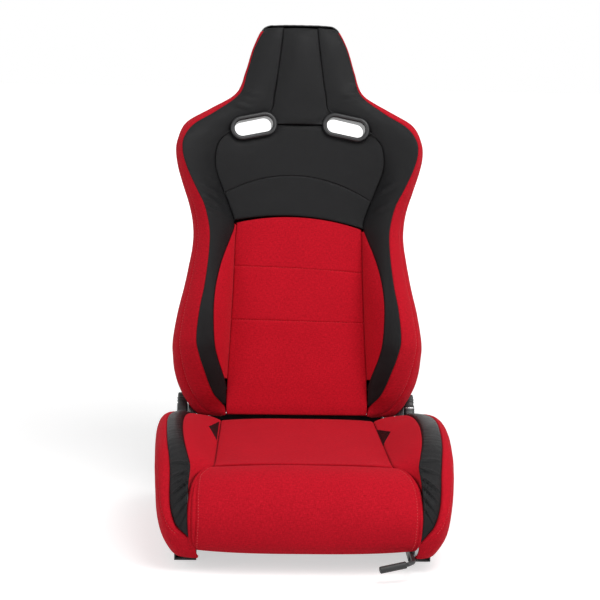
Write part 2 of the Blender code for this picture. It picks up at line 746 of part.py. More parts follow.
def rail_section(name, section, length, finish, parent, x_centre, holes=()):
    """A section in (x, z) drawn out along Y."""
    mesh = outline_solid(name, section, length)
    along = Matrix(((1, 0, 0, x_centre * MM), (0, 0, -1, 0), (0, 1, 0, 0), (0, 0, 0, 1)))
    mesh.transform(along)
    obj = place(name, mesh, finish, parent)
    for number, (x, y, radius, low, high) in enumerate(holes):
        drill = cylinder_mesh(name + "_drill", radius, high - low)
        hole = cutter_from(f"{name}_drill_{number}", drill, parent)
        hole.location = (x * MM, y * MM, (low + high) / 2 * MM)
        cut(obj, hole)
    return obj


def cylinder_mesh(name, radius, length, sides=16):
    bm = bmesh.new()
    bmesh.ops.create_cone(bm, cap_ends=True, segments=sides, radius1=radius * MM, radius2=radius * MM,
                          depth=length * MM)
    return mesh_from(bm, name)


def box_mesh(name, low, high):
    bm = bmesh.new()
    bmesh.ops.create_cube(bm, size=1.0)
    size = [(b - a) * MM for a, b in zip(low, high)]
    centre = [(a + b) / 2 * MM for a, b in zip(low, high)]
    bmesh.ops.transform(bm, matrix=Matrix.Translation(centre) @ Matrix.Diagonal((*size, 1.0)), verts=bm.verts)
    return mesh_from(bm, name)


def arc(centre, radius, start, end, count):
    return [(centre[0] + radius * math.cos(math.radians(start + (end - start) * k / count)),
             centre[1] + radius * math.sin(math.radians(start + (end - start) * k / count)))
            for k in range(count + 1)]


def lower_rail(side, name, parent):
    """Floor rail: a channel whose top edges turn in and down round the upper rail's foot."""
    w, h, wall, mouth, lip = RAIL_WIDTH / 2, RAIL_HEIGHT, RAIL_WALL, RAIL_MOUTH / 2, RAIL_LIP
    right = [(w, 0), (w, h), (mouth, h), (mouth, h - lip), (mouth + wall, h - lip), (mouth + wall, h - wall),
             (w - wall, h - wall), (w - wall, wall)]
    section = right + [(-x, z) for x, z in reversed(right)]
    ends = RAIL_LENGTH / 2 - FLOOR_HOLE_FROM_END
    holes = [(side * RAIL_X, end, FLOOR_HOLE_RADIUS, -5, 8) for end in (-ends, ends)]
    return rail_section(name, section, RAIL_LENGTH, BLACK_STEEL, parent, side * RAIL_X, holes)


def upper_rail(side, name, parent):
    """Seat rail: a foot inside the floor rail, a neck through its mouth and a flat top."""
    foot, neck, top = RAIL_WIDTH / 2 - 3.0, RAIL_MOUTH / 2 - 3.0, 15.0
    hook = RAIL_MOUTH / 2 + RAIL_WALL + 1.0
    right = [(foot, 4), (foot, 17), (hook, 17), (hook, 8), (neck, 8), (neck, UPPER_RAIL_TOP - 3),
             (top, UPPER_RAIL_TOP - 3), (top, UPPER_RAIL_TOP)]
    section = right + [(-x, z) for x, z in reversed(right)]
    return rail_section(name, section, UPPER_RAIL_LENGTH, ZINC, parent, side * RAIL_X)


def side_frame(side, name, parent):
    """Pressed side plate from the rail flange up to the recliner axis."""
    fy, fz = FRONT_TUBE
    outline = [(-118, 29.6), (186, 29.6), (226, 100)]
    outline += arc((PIVOT_Y, PIVOT_Z), 15.8, -20, 195, 8)
    outline += [(186, 116), (172, 106), (-150, 94)]
    outline += arc((fy, fz), 13.4, 60, 250, 8)
    low, high = sorted((side * PLATE_X, side * (PLATE_X + PLATE_THICKNESS)))
    plate = cross_plate(name, outline, low, high, BLACK_STEEL, parent,
                        holes=[(PIVOT_Y, PIVOT_Z, PIVOT_HOLE_RADIUS), (-50, 62, 18), (115, 66, 18)])
    x_low, x_high = sorted((side * FLANGE_X[0], side * FLANGE_X[1]))
    foot_low = (x_low, -112, UPPER_RAIL_TOP + 0.3)
    foot_high = (x_high, 170, UPPER_RAIL_TOP + 0.3 + FLANGE_THICKNESS)
    flange = cutter_from(name + "_flange", box_mesh(name + "_flange", foot_low, foot_high), parent)
    cut(plate, flange, "UNION")
    return plate


def rail_bolt(side, y, name, parent):
    """Hexagon-headed bolt through the side frame's flange, beside the plate."""
    bm = bmesh.new()
    bmesh.ops.create_cone(bm, cap_ends=True, segments=6, radius1=7.5 * MM, radius2=7.5 * MM, depth=5 * MM)
    obj = place(name, mesh_from(bm, name), ZINC, parent)
    top = UPPER_RAIL_TOP + 0.3 + FLANGE_THICKNESS
    obj.location = (side * (RAIL_X + 6) * MM, y * MM, (top + 0.3 + 2.5) * MM)
    return obj


def strap_outline(first, second, radius):
    """A band that starts under one tube, wraps its far side, runs straight over and wraps the other."""
    inner, outer = radius + STRAP_CLEAR, radius + STRAP_CLEAR + STRAP_THICKNESS
    path = arc(first, outer, 250, 90, 8) + arc(second, outer, 90, -70, 8)
    path += arc(second, inner, -70, 90, 8) + arc(first, inner, 90, 250, 8)
    return path


def seat_strap(x_centre, name, parent):
    outline = strap_outline(FRONT_TUBE, REAR_TUBE, TUBE_RADIUS)
    half = STRAP_WIDTH / 2
    return cross_plate(name, outline, x_centre - half, x_centre + half, WEBBING, parent)


def seat_tube(name, centre, parent):
    y, z = centre
    reach = PLATE_X - 0.4
    ends = [Vector((-reach, y, z)) * MM, Vector((reach, y, z)) * MM]
    return tube(name, ends, TUBE_RADIUS, BLACK_STEEL, parent, 4)


def recliner_boss(side, name, parent):
    """Recliner gear case outside the side plate, round the recliner axis."""
    x_low, x_high = BOSS_X
    rim = BOSS_RADIUS
    profile = [(PIVOT_HOLE_RADIUS, x_high), (rim - 5, x_high), (rim - 4, x_high - 1), (rim - 4, x_high - 5),
               (rim - 1, x_high - 5), (rim, x_high - 6), (rim, x_low), (PIVOT_HOLE_RADIUS, x_low)]
    mesh = bpy.data.meshes.new(name)
    points = [(radius * MM, 0, x * MM) for radius, x in profile]
    mesh.from_pydata(points, [(k, (k + 1) % len(points)) for k in range(len(points))], [])
    obj = place(name, mesh, BLACK_STEEL, parent)
    turn = obj.modifiers.new("turn", "SCREW")
    turn.steps = turn.render_steps = 20
    turn.use_merge_vertices = True
    turn.merge_threshold = 0.00005
    turn.use_normal_calculate = True
    obj.rotation_euler = (0, math.radians(90 * side), 0)
    obj.location = (0, PIVOT_Y * MM, PIVOT_Z * MM)
    return obj


def release_rod(parent):
    """Rod on the recliner axis that joins the two levers."""
    reach = LEVER_X[1] - 4.0
    ends = [Vector((x, 0, 0)) * MM for x in (-reach, reach)]
    return tube("release_rod", ends, BAR_RADIUS, ZINC, parent, 3)


def recliner_lever(side, name, parent):
    """Moulded lever: a hub on the recliner axis and a rounded arm up behind the flank's corner."""
    lean = 90.0 - LEVER_LEAN
    spread = math.degrees(math.acos((LEVER_HUB - LEVER_TIP) / LEVER_REACH))
    tip = (LEVER_REACH * math.cos(math.radians(lean)), LEVER_REACH * math.sin(math.radians(lean)))
    outline = arc((0, 0), LEVER_HUB, lean + spread, lean + 360 - spread, 12)
    outline += arc(tip, LEVER_TIP, lean - spread, lean + spread, 6)
    low, high = sorted((side * LEVER_ARM_X, side * LEVER_X[1]))
    obj = cross_plate(name, outline, low, high, BLACK_PLASTIC, parent)
    edge = obj.modifiers.new("rounded", "BEVEL")
    edge.width = 2.5 * MM
    edge.segments = 1
    edge.limit_method = "ANGLE"
    edge.angle_limit = math.radians(50)
    collar_mesh = cylinder_mesh(name + "_collar", LEVER_HUB - 3, LEVER_ARM_X - LEVER_X[0] + 4)
    collar = cutter_from(name + "_collar", collar_mesh, parent)
    collar.rotation_euler = (0, math.radians(90), 0)
    collar.location = (side * (LEVER_X[0] + LEVER_ARM_X + 4) / 2 * MM, 0, 0)
    cut(obj, collar, "UNION")
    bore_end = LEVER_X[1] - 3.6
    bore_mesh = cylinder_mesh(name + "_bore", BAR_RADIUS + 0.4, bore_end - 195.0)
    bore = cutter_from(name + "_bore", bore_mesh, parent)
    bore.rotation_euler = (0, math.radians(90), 0)
    bore.location = (side * (bore_end + 195.0) / 2 * MM, 0, 0)
    cut(obj, bore)
    return obj


def recliner_arm(side, name, parent):
    """Backrest arm: round the recliner axis below, a strap up inside the flank above."""
    outline = arc((0, 0), 16.0, 150, 390, 10)
    outline += [(6, 14), (6, 122), (-8, 122), (-8, 14)]
    low, high = sorted((side * ARM_X, side * (ARM_X + ARM_THICKNESS)))
    return cross_plate(name, outline, low, high, BLACK_STEEL, parent, holes=[(0, 0, PIVOT_HOLE_RADIUS)])


def back_hoop(parent):
    """Tubular hoop from one recliner arm over the head to the other."""
    side = [(HOOP_REACH[0], 42), (HOOP_REACH[0], 200), (HOOP_REACH[1], 240), (HOOP_REACH[1], 395), (190, 480),
            (190, 545), (150, 594), (88, 646), (62, 724)]
    right = [Vector((x, up, HOOP_FORWARD)) for x, up in side]
    path = rounded_path(mirrored(right) + list(reversed(right)), 22.0, 2)
    return tube("back_hoop", [back_local(p) for p in path], HOOP_RADIUS, BLACK_STEEL, parent, 1)


def back_tube(name, reach, up, radius, parent):
    ends = [back_local((x, up, HOOP_FORWARD)) for x in (-reach, reach)]
    return tube(name, ends, radius, BLACK_STEEL, parent, 3)


def back_strap(up, reach, name, parent):
    """Webbing band across the back, wrapped round the hoop's two sides."""
    outline = strap_outline((-reach, HOOP_FORWARD), (reach, HOOP_FORWARD), HOOP_RADIUS)
    mesh = outline_solid(name, outline, STRAP_WIDTH)
    flat = Matrix(((1, 0, 0, 0), (0, -1, 0, PIVOT_FORWARD * MM),
                   (0, 0, 1, (up - PIVOT_UP) * MM), (0, 0, 0, 1)))
    mesh.transform(flat)
    mesh.flip_normals()
    return place(name, mesh, WEBBING, parent)


# ---- harness openings ----
def stadium(length, height, count=6):
    """Outline of a slot with round ends, as (across, up)."""
    radius, run = height / 2, (length - height) / 2
    return arc((run, 0), radius, -90, 90, count) + arc((-run, 0), radius, 90, 270, count)


def risen(outline, depth):
    """The sleeve's outline at a depth, where it has climbed towards the rear."""
    climb = SLEEVE_RISE * (SLEEVE_START - depth) / (SLEEVE_LENGTH + SLEEVE_START)
    return [(x, y + climb) for x, y in outline]


def skinned(bm, rings):
    """Join matching outlines with faces; each ring is (outline, depth, slope along it)."""
    loops = []
    for outline, depth, slope in rings:
        loops.append([bm.verts.new(Vector((x, y, depth + slope * x)) * MM) for x, y in outline])
    count = len(loops[0])
    for a, b in zip(loops, loops[1:]):
        for k in range(count):
            bm.faces.new((a[k], a[(k + 1) % count], b[(k + 1) % count], b[k]))
    return loops


def ring_between(name, rings):
    """Skin a closed chain of matching outlines into one ring."""
    bm = bmesh.new()
    loops = skinned(bm, rings)
    count = len(loops[0])
    for k in range(count):
        bm.faces.new((loops[-1][k], loops[-1][(k + 1) % count], loops[0][(k + 1) % count], loops[0][k]))
    bmesh.ops.recalc_face_normals(bm, faces=bm.faces)
    return mesh_from(bm, name)


def slot_frame(side):
    """Axes of a harness opening on the backrest: X along it, Y up it, Z out of its face."""
    x, up, forward = SLOT_CENTRE
    origin = Matrix.Translation(back_local((side * x, up, forward)))
    face_out = Matrix.Rotation(math.radians(90), 4, "X")
    roll = Matrix.Rotation(math.radians(-side * SLOT_ROLL), 4, "Z")
    return origin @ face_out @ roll


def front_bezel(side, name, parent):
    """Moulded ring with a rounded band on the face and a sleeve through to the rear."""
    length, height = SLOT_SIZE
    wide, tall = BEZEL_SIZE
    lean = side * math.tan(math.radians(SLOT_TURN))
    inside = stadium(length, height)
    sleeve = stadium(length + 2 * LINER_WALL, height + 2 * LINER_WALL)
    rings = [(risen(inside, -SLEEVE_LENGTH), -SLEEVE_LENGTH, 0), (inside, 3, lean),
             (stadium(length + 3, height + 3), 6.5, lean),
             (stadium((length + wide) / 2, (height + tall) / 2), 8, lean),
             (stadium(wide - 3, tall - 3), 6.5, lean),
             (stadium(wide, tall), 3, lean), (stadium(wide, tall), SLEEVE_START, lean),
             (sleeve, SLEEVE_START, lean), (risen(sleeve, -SLEEVE_LENGTH), -SLEEVE_LENGTH, 0)]
    obj = place(name, ring_between(name, rings), BLACK_PLASTIC, parent, 50.0)
    obj.matrix_local = slot_frame(side)
    return obj


def rear_bezel(side, name, parent):
    """Ring that closes the sleeve's rear end on the back cover."""
    length, height = SLOT_SIZE
    inside = stadium(length + 2 * LINER_WALL + 0.8, height + 2 * LINER_WALL + 0.8)
    wide, tall = BEZEL_SIZE
    lean = side * REAR_RING_LEAN
    profile = [(inside, REAR_RING), (stadium(wide, tall), REAR_RING), (stadium(wide, tall), REAR_RING - 3),
               (stadium(wide - 4, tall - 4), REAR_RING - 5), (inside, REAR_RING - 5)]
    rings = [(risen(outline, depth), depth, lean) for outline, depth in profile]
    obj = place(name, ring_between(name, rings), BLACK_PLASTIC, parent, 50.0)
    obj.matrix_local = slot_frame(side)
    return obj


def slot_cutter(side, name, parent):
    """Space for a bezel: its ring on the face and its sleeve behind."""
    wide, tall = BEZEL_SIZE
    length, height = SLOT_SIZE
    lean = side * math.tan(math.radians(SLOT_TURN))
    pocket = stadium(wide + 0.8, tall + 0.8)
    sleeve = stadium(length + 2 * LINER_WALL + 0.8, height + 2 * LINER_WALL + 0.8)
    floor, far_end = SLEEVE_START - 0.4, -120.0
    bm = bmesh.new()
    loops = skinned(bm, [(pocket, 60, lean), (pocket, floor, lean), (sleeve, floor, lean),
                         (risen(sleeve, far_end), far_end, 0)])
    bm.faces.new(loops[0])
    bm.faces.new(loops[-1])
    bmesh.ops.recalc_face_normals(bm, faces=bm.faces)
    obj = cutter_from(name, mesh_from(bm, name), parent)
    obj.matrix_local = slot_frame(side)
    return obj


# ---- slider handle ----
def slider_rod(parent):
    """Release rod along the right rail, bent across in front of the seat."""
    path = [Vector((0, 66, 0))] + rounded_path(HANDLE_BENDS, 6.0)
    return tube("slider_rod", [p * MM for p in path], ROD_RADIUS, BLACK_STEEL, parent, 2)


def slider_grip(parent):
    """Rubber sleeve pushed on the rod's cross end."""
    start, end = Vector(HANDLE_BENDS[-2]), Vector(HANDLE_BENDS[-1])
    along = (end - start).normalized()
    low, high = start + along * 4.0, end + along * 3.5
    middle = (low + high) / 2
    obj = place("slider_grip", cylinder_mesh("slider_grip", GRIP_RADIUS, (high - low).length, 20), RUBBER,
                parent, 50.0)
    facing = along.to_track_quat("Z", "Y")
    obj.rotation_mode = "QUATERNION"
    obj.rotation_quaternion = facing
    obj.location = middle * MM
    edge = obj.modifiers.new("rounded", "BEVEL")
    edge.width = 1.5 * MM
    edge.segments = 1
    edge.limit_method = "ANGLE"
    edge.angle_limit = math.radians(50)
    bore_mesh = cylinder_mesh("slider_grip_bore", ROD_RADIUS + 0.5, (end - low).length + 10.3)
    bore = cutter_from("slider_grip_bore", bore_mesh, parent)
    bore.rotation_mode = "QUATERNION"
    bore.rotation_quaternion = facing
    bore.location = ((low + end) / 2 - along * 4.7) * MM
    cut(obj, bore)
    return obj


def drilled_block(name, low, high, parent):
    """Block round the release rod with a running hole along Y."""
    obj = place(name, box_mesh(name, low, high), BLACK_STEEL, parent)
    drill = cutter_from(name + "_drill", cylinder_mesh(name + "_drill", ROD_RADIUS + 0.45, 20), parent)
    drill.rotation_euler = (math.radians(90), 0, 0)
    cut(obj, drill)
    return drill


def rod_bearing(y, name, parent):
    """Block on the upper rail that carries the release rod."""
    low = (ROD_X - 7, y - 5, UPPER_RAIL_TOP + 0.3)
    drill = drilled_block(name, low, (ROD_X + 15, y + 5, ROD_Z + 8), parent)
    drill.location = (ROD_X * MM, y * MM, ROD_Z * MM)


def latch_dog(parent):
    """Dog on the rod that drops beside the rail to hold the seat."""
    drill = drilled_block("latch_dog", (-7, 44, -5), (5, 50, 6), parent)
    drill.location = (0, 47 * MM, 0)


def build_floor(parent):
    for side, word in ((-1, "left"), (1, "right")):
        lower_rail(side, "lower_rail_" + word, parent)


def build_base(parent):
    for side, word in ((-1, "left"), (1, "right")):
        upper_rail(side, "upper_rail_" + word, parent)
        side_frame(side, "side_frame_" + word, parent)
        for y, end in ((-90, "front"), (150, "rear")):
            rail_bolt(side, y, f"rail_bolt_{end}_{word}", parent)
        recliner_boss(side, "recliner_boss_" + word, parent)
        thigh_flank(side, "thigh_flank_" + word, parent)
        thigh_strip(side, "thigh_strip_" + word, parent)
        thigh_slope(side, "thigh_slope_" + word, parent)
    seat_tube("front_cross_tube", FRONT_TUBE, parent)
    seat_tube("rear_cross_tube", REAR_TUBE, parent)
    for number, x in enumerate((-105, 0, 105), 1):
        seat_strap(x, f"seat_strap_{number}", parent)
    seat_insert(parent)
    front_roll(parent)
    for number, y in enumerate((-165, -128), 1):
        rod_bearing(y, f"rod_bearing_{number}", parent)


def build_handle(parent):
    slider_rod(parent)
    slider_grip(parent)
    latch_dog(parent)


def build_release(parent):
    release_rod(parent)
    for side, word in ((-1, "left"), (1, "right")):
        recliner_lever(side, "recliner_lever_" + word, parent)


def build_back(parent):
    back_hoop(parent)
    back_tube("back_lower_tube", ARM_X - 0.4, 62.0, 8.0, parent)
    for number, (up, reach) in enumerate(((135, 0), (275, 1), (345, 1)), 1):
        back_strap(up, HOOP_REACH[reach], f"back_strap_{number}", parent)
    back_insert(parent)
    back_skirt(parent)
    head_cap(parent)
    cut_by_slots = [chest_pad(parent), head_pad(parent), back_cover(parent)]
    sides = []
    for side, word in ((-1, "left"), (1, "right")):
        recliner_arm(side, "recliner_arm_" + word, parent)
        inner_bolster(side, "inner_bolster_" + word, parent)
        flank = back_flank(side, "back_flank_" + word, parent)
        low, high = sorted((side * (ARM_X - 1.5), side * (ARM_X + ARM_THICKNESS + 1.5)))
        relief = box_mesh("arm_relief_" + word, (low, -10, -25), (high, 10, 45))
        cut(flank, cutter_from("arm_relief_" + word, relief, parent))
        sides.append(side_panel(side, "side_panel_" + word, parent))
        front_bezel(side, "front_bezel_" + word, parent)
        rear_bezel(side, "rear_bezel_" + word, parent)
    for number, side in enumerate((-1, 1)):
        opening = slot_cutter(side, f"slot_cutter_{number}", parent)
        for pad in cut_by_slots + [sides[number]]:
            cut(pad, opening)


clear_scene()
PARTS = new_collection("sport_seat")
CUTTERS = new_collection("cutters")
FLOOR = new_empty("floor", (0, ORIGIN_Y * MM, 0))
SLIDE = new_empty("seat_slide", (0, ORIGIN_Y * MM, 0))
RECLINER = new_empty("recliner_axis", (0, PIVOT_Y * MM, PIVOT_Z * MM), SLIDE, math.radians(-RECLINE))
RELEASE = new_empty("release_axis", (0, 0, 0), RECLINER)
HANDLE = new_empty("handle_axis", (ROD_X * MM, -190.0 * MM, ROD_Z * MM), SLIDE)
build_floor(FLOOR)
build_base(SLIDE)
build_handle(HANDLE)
build_release(RELEASE)
build_back(RECLINER)
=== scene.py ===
"""Dressed model of a reclining sport seat with cloth and leatherette pads, on slide rails.

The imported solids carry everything. Each soft pad is sewn again here, finely, between the same seam lines as its
solid. Tables and lengths are in millimetres unless a name says otherwise; left and right are as seen from in front.
"""
import math

import bmesh
import bpy
import numpy as np
from mathutils import Matrix, Vector, noise
from mathutils.bvhtree import BVHTree


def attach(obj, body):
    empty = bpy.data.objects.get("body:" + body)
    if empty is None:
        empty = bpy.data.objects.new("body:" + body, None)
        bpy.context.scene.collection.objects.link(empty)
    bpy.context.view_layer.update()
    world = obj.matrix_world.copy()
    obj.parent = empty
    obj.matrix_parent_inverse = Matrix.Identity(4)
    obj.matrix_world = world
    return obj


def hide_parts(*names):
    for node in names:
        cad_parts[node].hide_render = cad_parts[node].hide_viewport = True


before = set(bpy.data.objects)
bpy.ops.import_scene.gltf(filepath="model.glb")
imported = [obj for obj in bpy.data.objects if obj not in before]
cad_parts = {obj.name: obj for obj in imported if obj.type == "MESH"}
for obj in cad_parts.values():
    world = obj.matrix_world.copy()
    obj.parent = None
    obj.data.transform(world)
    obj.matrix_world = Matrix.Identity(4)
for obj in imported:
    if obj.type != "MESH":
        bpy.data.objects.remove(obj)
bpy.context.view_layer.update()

MM = 0.001

# ---- the frame's own dimensions ----
ORIGIN_Y = -59.6
PIVOT_Y, PIVOT_Z = 215.0, 145.0
RECLINE = 15.0
PIVOT_UP, PIVOT_FORWARD = -15.0, 17.0
PAD_FLOOR_Z = 117.8
BACK_PAD_REAR = 33.2
SLOT_CENTRE = (92.0, 578.0, 62.0)
SLOT_ROLL, SLOT_TURN = 12.4, 6.0
SLOT_SIZE, BEZEL_SIZE = (77.0, 31.0), (95.0, 47.0)
LINER_WALL = 3.0
SLEEVE_LENGTH, SLEEVE_START, SLEEVE_RISE = 75.0, -4.0, 7.0
HOLE_DEPTH, HOLE_RISE = 120.0, 60.0      # how far the cut for a slot runs behind and in front of its face

# ---- upholstery ----
SEAM_GAP = 0.14           # space between two sewn neighbours
SEAM_DEPTH = 2.4          # how far a pad turns down into its seam
SEAM_ROLL = 4.2           # width of that turned edge
SEAM_SHADE = 4.5          # how far beside a seam the cloth is darkened with painted shade
CHANNEL_DEPTH, CHANNEL_ROLL = 1.9, 3.6
STITCH_PITCH, STITCH_LENGTH, THREAD = 5.4, 3.0, 1.05
PAD_DEPTH = 30.0
FOLD_HUB = (-190.0, 100.0)               # (y, z) that the pads' depths turn towards at the front of the base

INNER_SEAM = [
    (140.4, 25, 50), (140.2, 46, 55), (142, 68, 64), (150, 92, 78), (159, 118, 93), (165, 150, 108),
    (167, 205, 116), (164, 250, 111), (156, 292, 97), (146, 325, 84), (135, 355, 70), (128, 382, 61),
    (139, 418, 63), (152, 450, 67), (166, 490, 73), (167, 520, 75), (158, 548, 72), (128, 572, 66),
    (62, 606, 60), (51, 645, 59), (43, 700, 58), (37, 750, 55), (34, 781, 50),
]
OUTER_SEAM = [
    (145, 21, 50), (164, 41, 69), (176, 65, 84), (185, 90, 98), (194, 116, 110), (201, 150, 120),
    (196, 205, 124), (187, 252, 120), (181, 298, 113), (178, 335, 108), (178, 365, 105), (183, 394, 104),
    (191, 420, 105), (205, 447, 107), (224, 488, 109), (233, 520, 107), (231, 548, 100), (212, 577, 86),
    (167, 607, 73), (119, 645, 65), (103, 692, 60), (88, 742, 57), (66, 779, 51),
]
FLANK_FOOT = (140.6, 3, 45)
FLANK_TOP = [(42, 783, 50), (0, 784, 50)]
REAR_EDGE = [
    (146, 2, 2), (183, 7, 2), (202, 30, 2), (214, 60, 1), (222, 90, 0), (226, 116, 0), (227, 150, 0),
    (219, 205, 0), (208, 252, 0), (200, 298, 0), (195, 335, 0), (193, 365, 0), (196, 394, 0), (202, 420, 0),
    (211, 447, 0), (225, 488, 0), (231, 520, 0), (230, 547, 0), (214, 580, 1), (172, 610, 2), (121, 644, 3),
    (102, 692, 3), (87, 742, 3), (66, 775, 4), (42, 780, 4), (0, 781, 4),
]
OUTLINE = [
    (150, 0), (193, 6), (215, 32), (231, 60), (240, 88), (244, 114), (246, 148), (237, 205), (226, 252),
    (217, 298), (211, 335), (209, 365), (212, 394), (218, 420), (227, 447), (240, 488), (246, 520),
    (244, 549), (227, 586), (179, 616), (128, 648), (109, 693), (94, 742), (74, 781), (45, 788), (0, 789),
]
INSERT_EDGE = [
    (139, 4, 45), (140, 22, 48), (139.5, 45, 49), (138.5, 68, 50), (137.5, 92, 50), (136, 118, 50),
    (134, 150, 50), (131.5, 205, 51), (129.5, 250, 52), (128, 292, 53), (127, 325, 55), (126, 355, 57),
    (124, 379, 59),
]
INSERT_CHANNELS = (190.0, 293.0)
INSERT_ARCH = 17.0
CHEST_FOOT, CHEST_CHANNEL, CHEST_ARCH = 381.5, 436.0, 44.0
NECK_HEIGHT = 583.0

THIGH_INNER = [
    (194, 168, 164), (204, 148, 182), (214, 100, 197), (220, 30, 208), (221, -50, 212), (217, -120, 206),
    (210, -165, 193), (204.5, -196, 180), (206.4, -229, 160), (208.2, -256, 129), (207.3, -268, 98),
    (205.6, -268, 76), (204.2, -264, 60),
]
THIGH_OUTER = [
    (228, 170, 160), (239, 150, 184), (251, 100, 197), (258, 30, 207), (258, -50, 209), (255, -120, 200),
    (250, -165, 184), (246, -198, 165), (243, -229, 142), (239, -251, 118), (231, -263, 94),
    (220, -266, 75), (209, -264, 57),
]
THIGH_WIDEST = [
    (248, 172, 125), (256, 150, 134), (267, 100, 138), (273.5, 30, 139), (274.5, -50, 139), (273, -120, 132),
    (271, -165, 121), (267, -200, 107), (260, -232, 92), (252, -252, 80), (240, -263, 68), (226.5, -265, 57),
    (210, -261, 47),
]
THIGH_HEM = [
    (238, 170, 58), (240, 150, 42), (241, 100, 31), (241, 30, 28), (241, -50, 27), (241, -120, 27),
    (240, -165, 27), (238, -195, 25), (234, -218, 24.5), (228, -236, 24.5), (221, -247, 25), (213, -253, 26),
    (207, -256, 28),
]
WELL_EDGE = [
    (148, 168, 152), (150, 148, 170), (152, 100, 172), (155, 30, 171), (158, -50, 170), (161, -120, 169),
    (165, -157, 168), (197.5, -199, 162), (207.6, -230, 150),
]
SEAT_EDGE = [
    (145, 186, 130), (147, 176, 156), (149, 152, 169), (151, 100, 171), (154, 30, 170), (157, -50, 169),
    (160, -120, 168), (162, -158, 169),
]
ROLL_EDGE = [
    (162, -161, 167), (178, -176, 170), (194, -200, 163), (204.5, -229, 149), (208.8, -254, 124),
    (208.4, -268, 97), (205.8, -266, 60), (198, -255, 41),
]
ROLL_CENTRE = [
    (0, -165, 168), (0, -183, 177), (0, -206, 182), (0, -243, 173), (0, -270, 144), (0, -284, 104),
    (0, -281, 60), (0, -262, 36),
]
ROLL_BACK = [
    (-165, 118), (-181, 118), (-203, 118), (-222, 117), (-223, 103), (-223, 86), (-223, 66), (-227, 49),
]


# ---- lines and places ----
def smooth_line(points):
    """A smooth curve through the points, read at 0, 1, 2... and between (Catmull-Rom)."""
    knots = [Vector(p) for p in points]

    def at(t):
        i = min(max(int(math.floor(t)), 0), len(knots) - 2)
        f = t - i
        a, b = knots[i], knots[i + 1]
        before = knots[i - 1] if i else 2 * a - b
        after = knots[i + 2] if i + 2 < len(knots) else 2 * b - a
        return 0.5 * (2 * a + (b - before) * f + (2 * before - 5 * a + 4 * b - after) * f * f
                      + (3 * a - before - 3 * b + after) * f ** 3)

    return at


def row_where(line, axis, value, last):
    low, high = 0.0, float(last)
    for _ in range(40):
        middle = (low + high) / 2
        if line(middle)[axis] < value:
            low = middle
        else:
            high = middle
    return (low + high) / 2


def held(x):
    return min(max(x, 0.0), 1.0)


def ease(x):
    x = held(x)
    return x * x * (3 - 2 * x)


def ease_array(x):
    x = np.clip(x, 0, 1)
    return x * x * (3 - 2 * x)


BACK_AXES = (Matrix.Translation((0, (PIVOT_Y + ORIGIN_Y) * MM, PIVOT_Z * MM))
             @ Matrix.Rotation(math.radians(-RECLINE), 4, "X"))
BASE_AXES = Matrix.Translation((0, ORIGIN_Y * MM, 0))
BACK_TABLE = BACK_AXES @ Matrix(((MM, 0, 0, 0), (0, 0, -MM, PIVOT_FORWARD * MM), (0, MM, 0, -PIVOT_UP * MM),
                                 (0, 0, 0, 1)))
BASE_TABLE = BASE_AXES @ Matrix.Scale(MM, 4)


def placed(points, table):
    """Table points (an array, millimetres) in the model's frame, in metres."""
    m = np.array(table)
    return points @ m[:3, :3].T + m[:3, 3]


# ---- backrest seams: a point and the inward depth there; the panel's side is -1 left, 1 right ----
inner_seam_line = smooth_line(INNER_SEAM)
flank_front_line = smooth_line([FLANK_FOOT] + OUTER_SEAM + FLANK_TOP)
rear_edge_line = smooth_line(REAR_EDGE)
outline_line = smooth_line([(x, up, 0) for x, up in OUTLINE])
insert_edge_line = smooth_line(INSERT_EDGE)
SIDE_LAST, INSERT_LAST = len(INNER_SEAM) - 1, len(INSERT_EDGE) - 1
BOLSTER_FIRST, BOLSTER_LAST = 2.3, 10.8
CHEST_FIRST = row_where(inner_seam_line, 1, CHEST_FOOT, SIDE_LAST)
CHEST_ROW = row_where(inner_seam_line, 1, CHEST_CHANNEL, SIDE_LAST)
NECK_ROW = row_where(inner_seam_line, 1, NECK_HEIGHT, SIDE_LAST)
HEAD_CORNER = 22.75       # flank station where the red cloth gives way to the black cap over the head
TOP_STATION, CORNER_GAP = 25.0, 0.004


def slid(t, side):
    """The covers sit a little askew: their cross seams are lower on the right side than on the left."""
    rise = ease((t - 4.0) / 6.5) * (1 - ease((t - 13.5) / 3.0))
    return t - side * 0.22 * rise


def flank_shift(t, side):
    """The head's outer seam lies nearer the silhouette, and on the right side just behind it, up to the cap."""
    shift = Vector((4.0, 0, -6.5) if side > 0 else (3.0, 0, -4.0))
    return shift * ease((t - 19.2) / 1.6) * (1 - ease((t - 23) / 0.9))


def turned_in(line, t):
    step = line(t + 0.01) - line(t - 0.01)
    return Vector((-step.y, step.x, 0)).normalized()


def across(v, side):
    return Vector((v.x * side, v.y, v.z))


def inner_seam(t, side=1):
    depth = Vector((2.0, 0, -24.0 + 5.0 * held(t - 21)))
    return across(inner_seam_line(t), side), across(depth, side)


def flank_front(t, side=1):
    inside, edge = inner_seam_line(min(max(t - 1, 0), SIDE_LAST)), flank_front_line(t)
    lean = min(8.0, 0.25 * (edge - inside).length) * (1 - 0.9 * held(t - SIDE_LAST))
    inward = turned_in(flank_front_line, t)
    if t < 1:
        inward = inward.lerp(Vector((0, 1, 0)), 1 - t)
    return across(edge + flank_shift(t, side), side), across(inward * lean + Vector((0, 0, -20.0)), side)


def outer_seam(t, side=1):
    return flank_front(t + 1, side)


def rear_edge(t, side=1):
    depth = turned_in(rear_edge_line, t) * 5.0 + Vector((0, 0, 8.0))
    return across(rear_edge_line(t), side), across(depth, side)


def flat_backed(line, back, shift=0.0):
    """An edge whose pad reaches straight back to one plane."""
    def edge(t, side=1):
        point = line(t) + Vector((shift, 0, 0))
        return across(point, side), Vector((0, 0, back - point.z))

    return edge


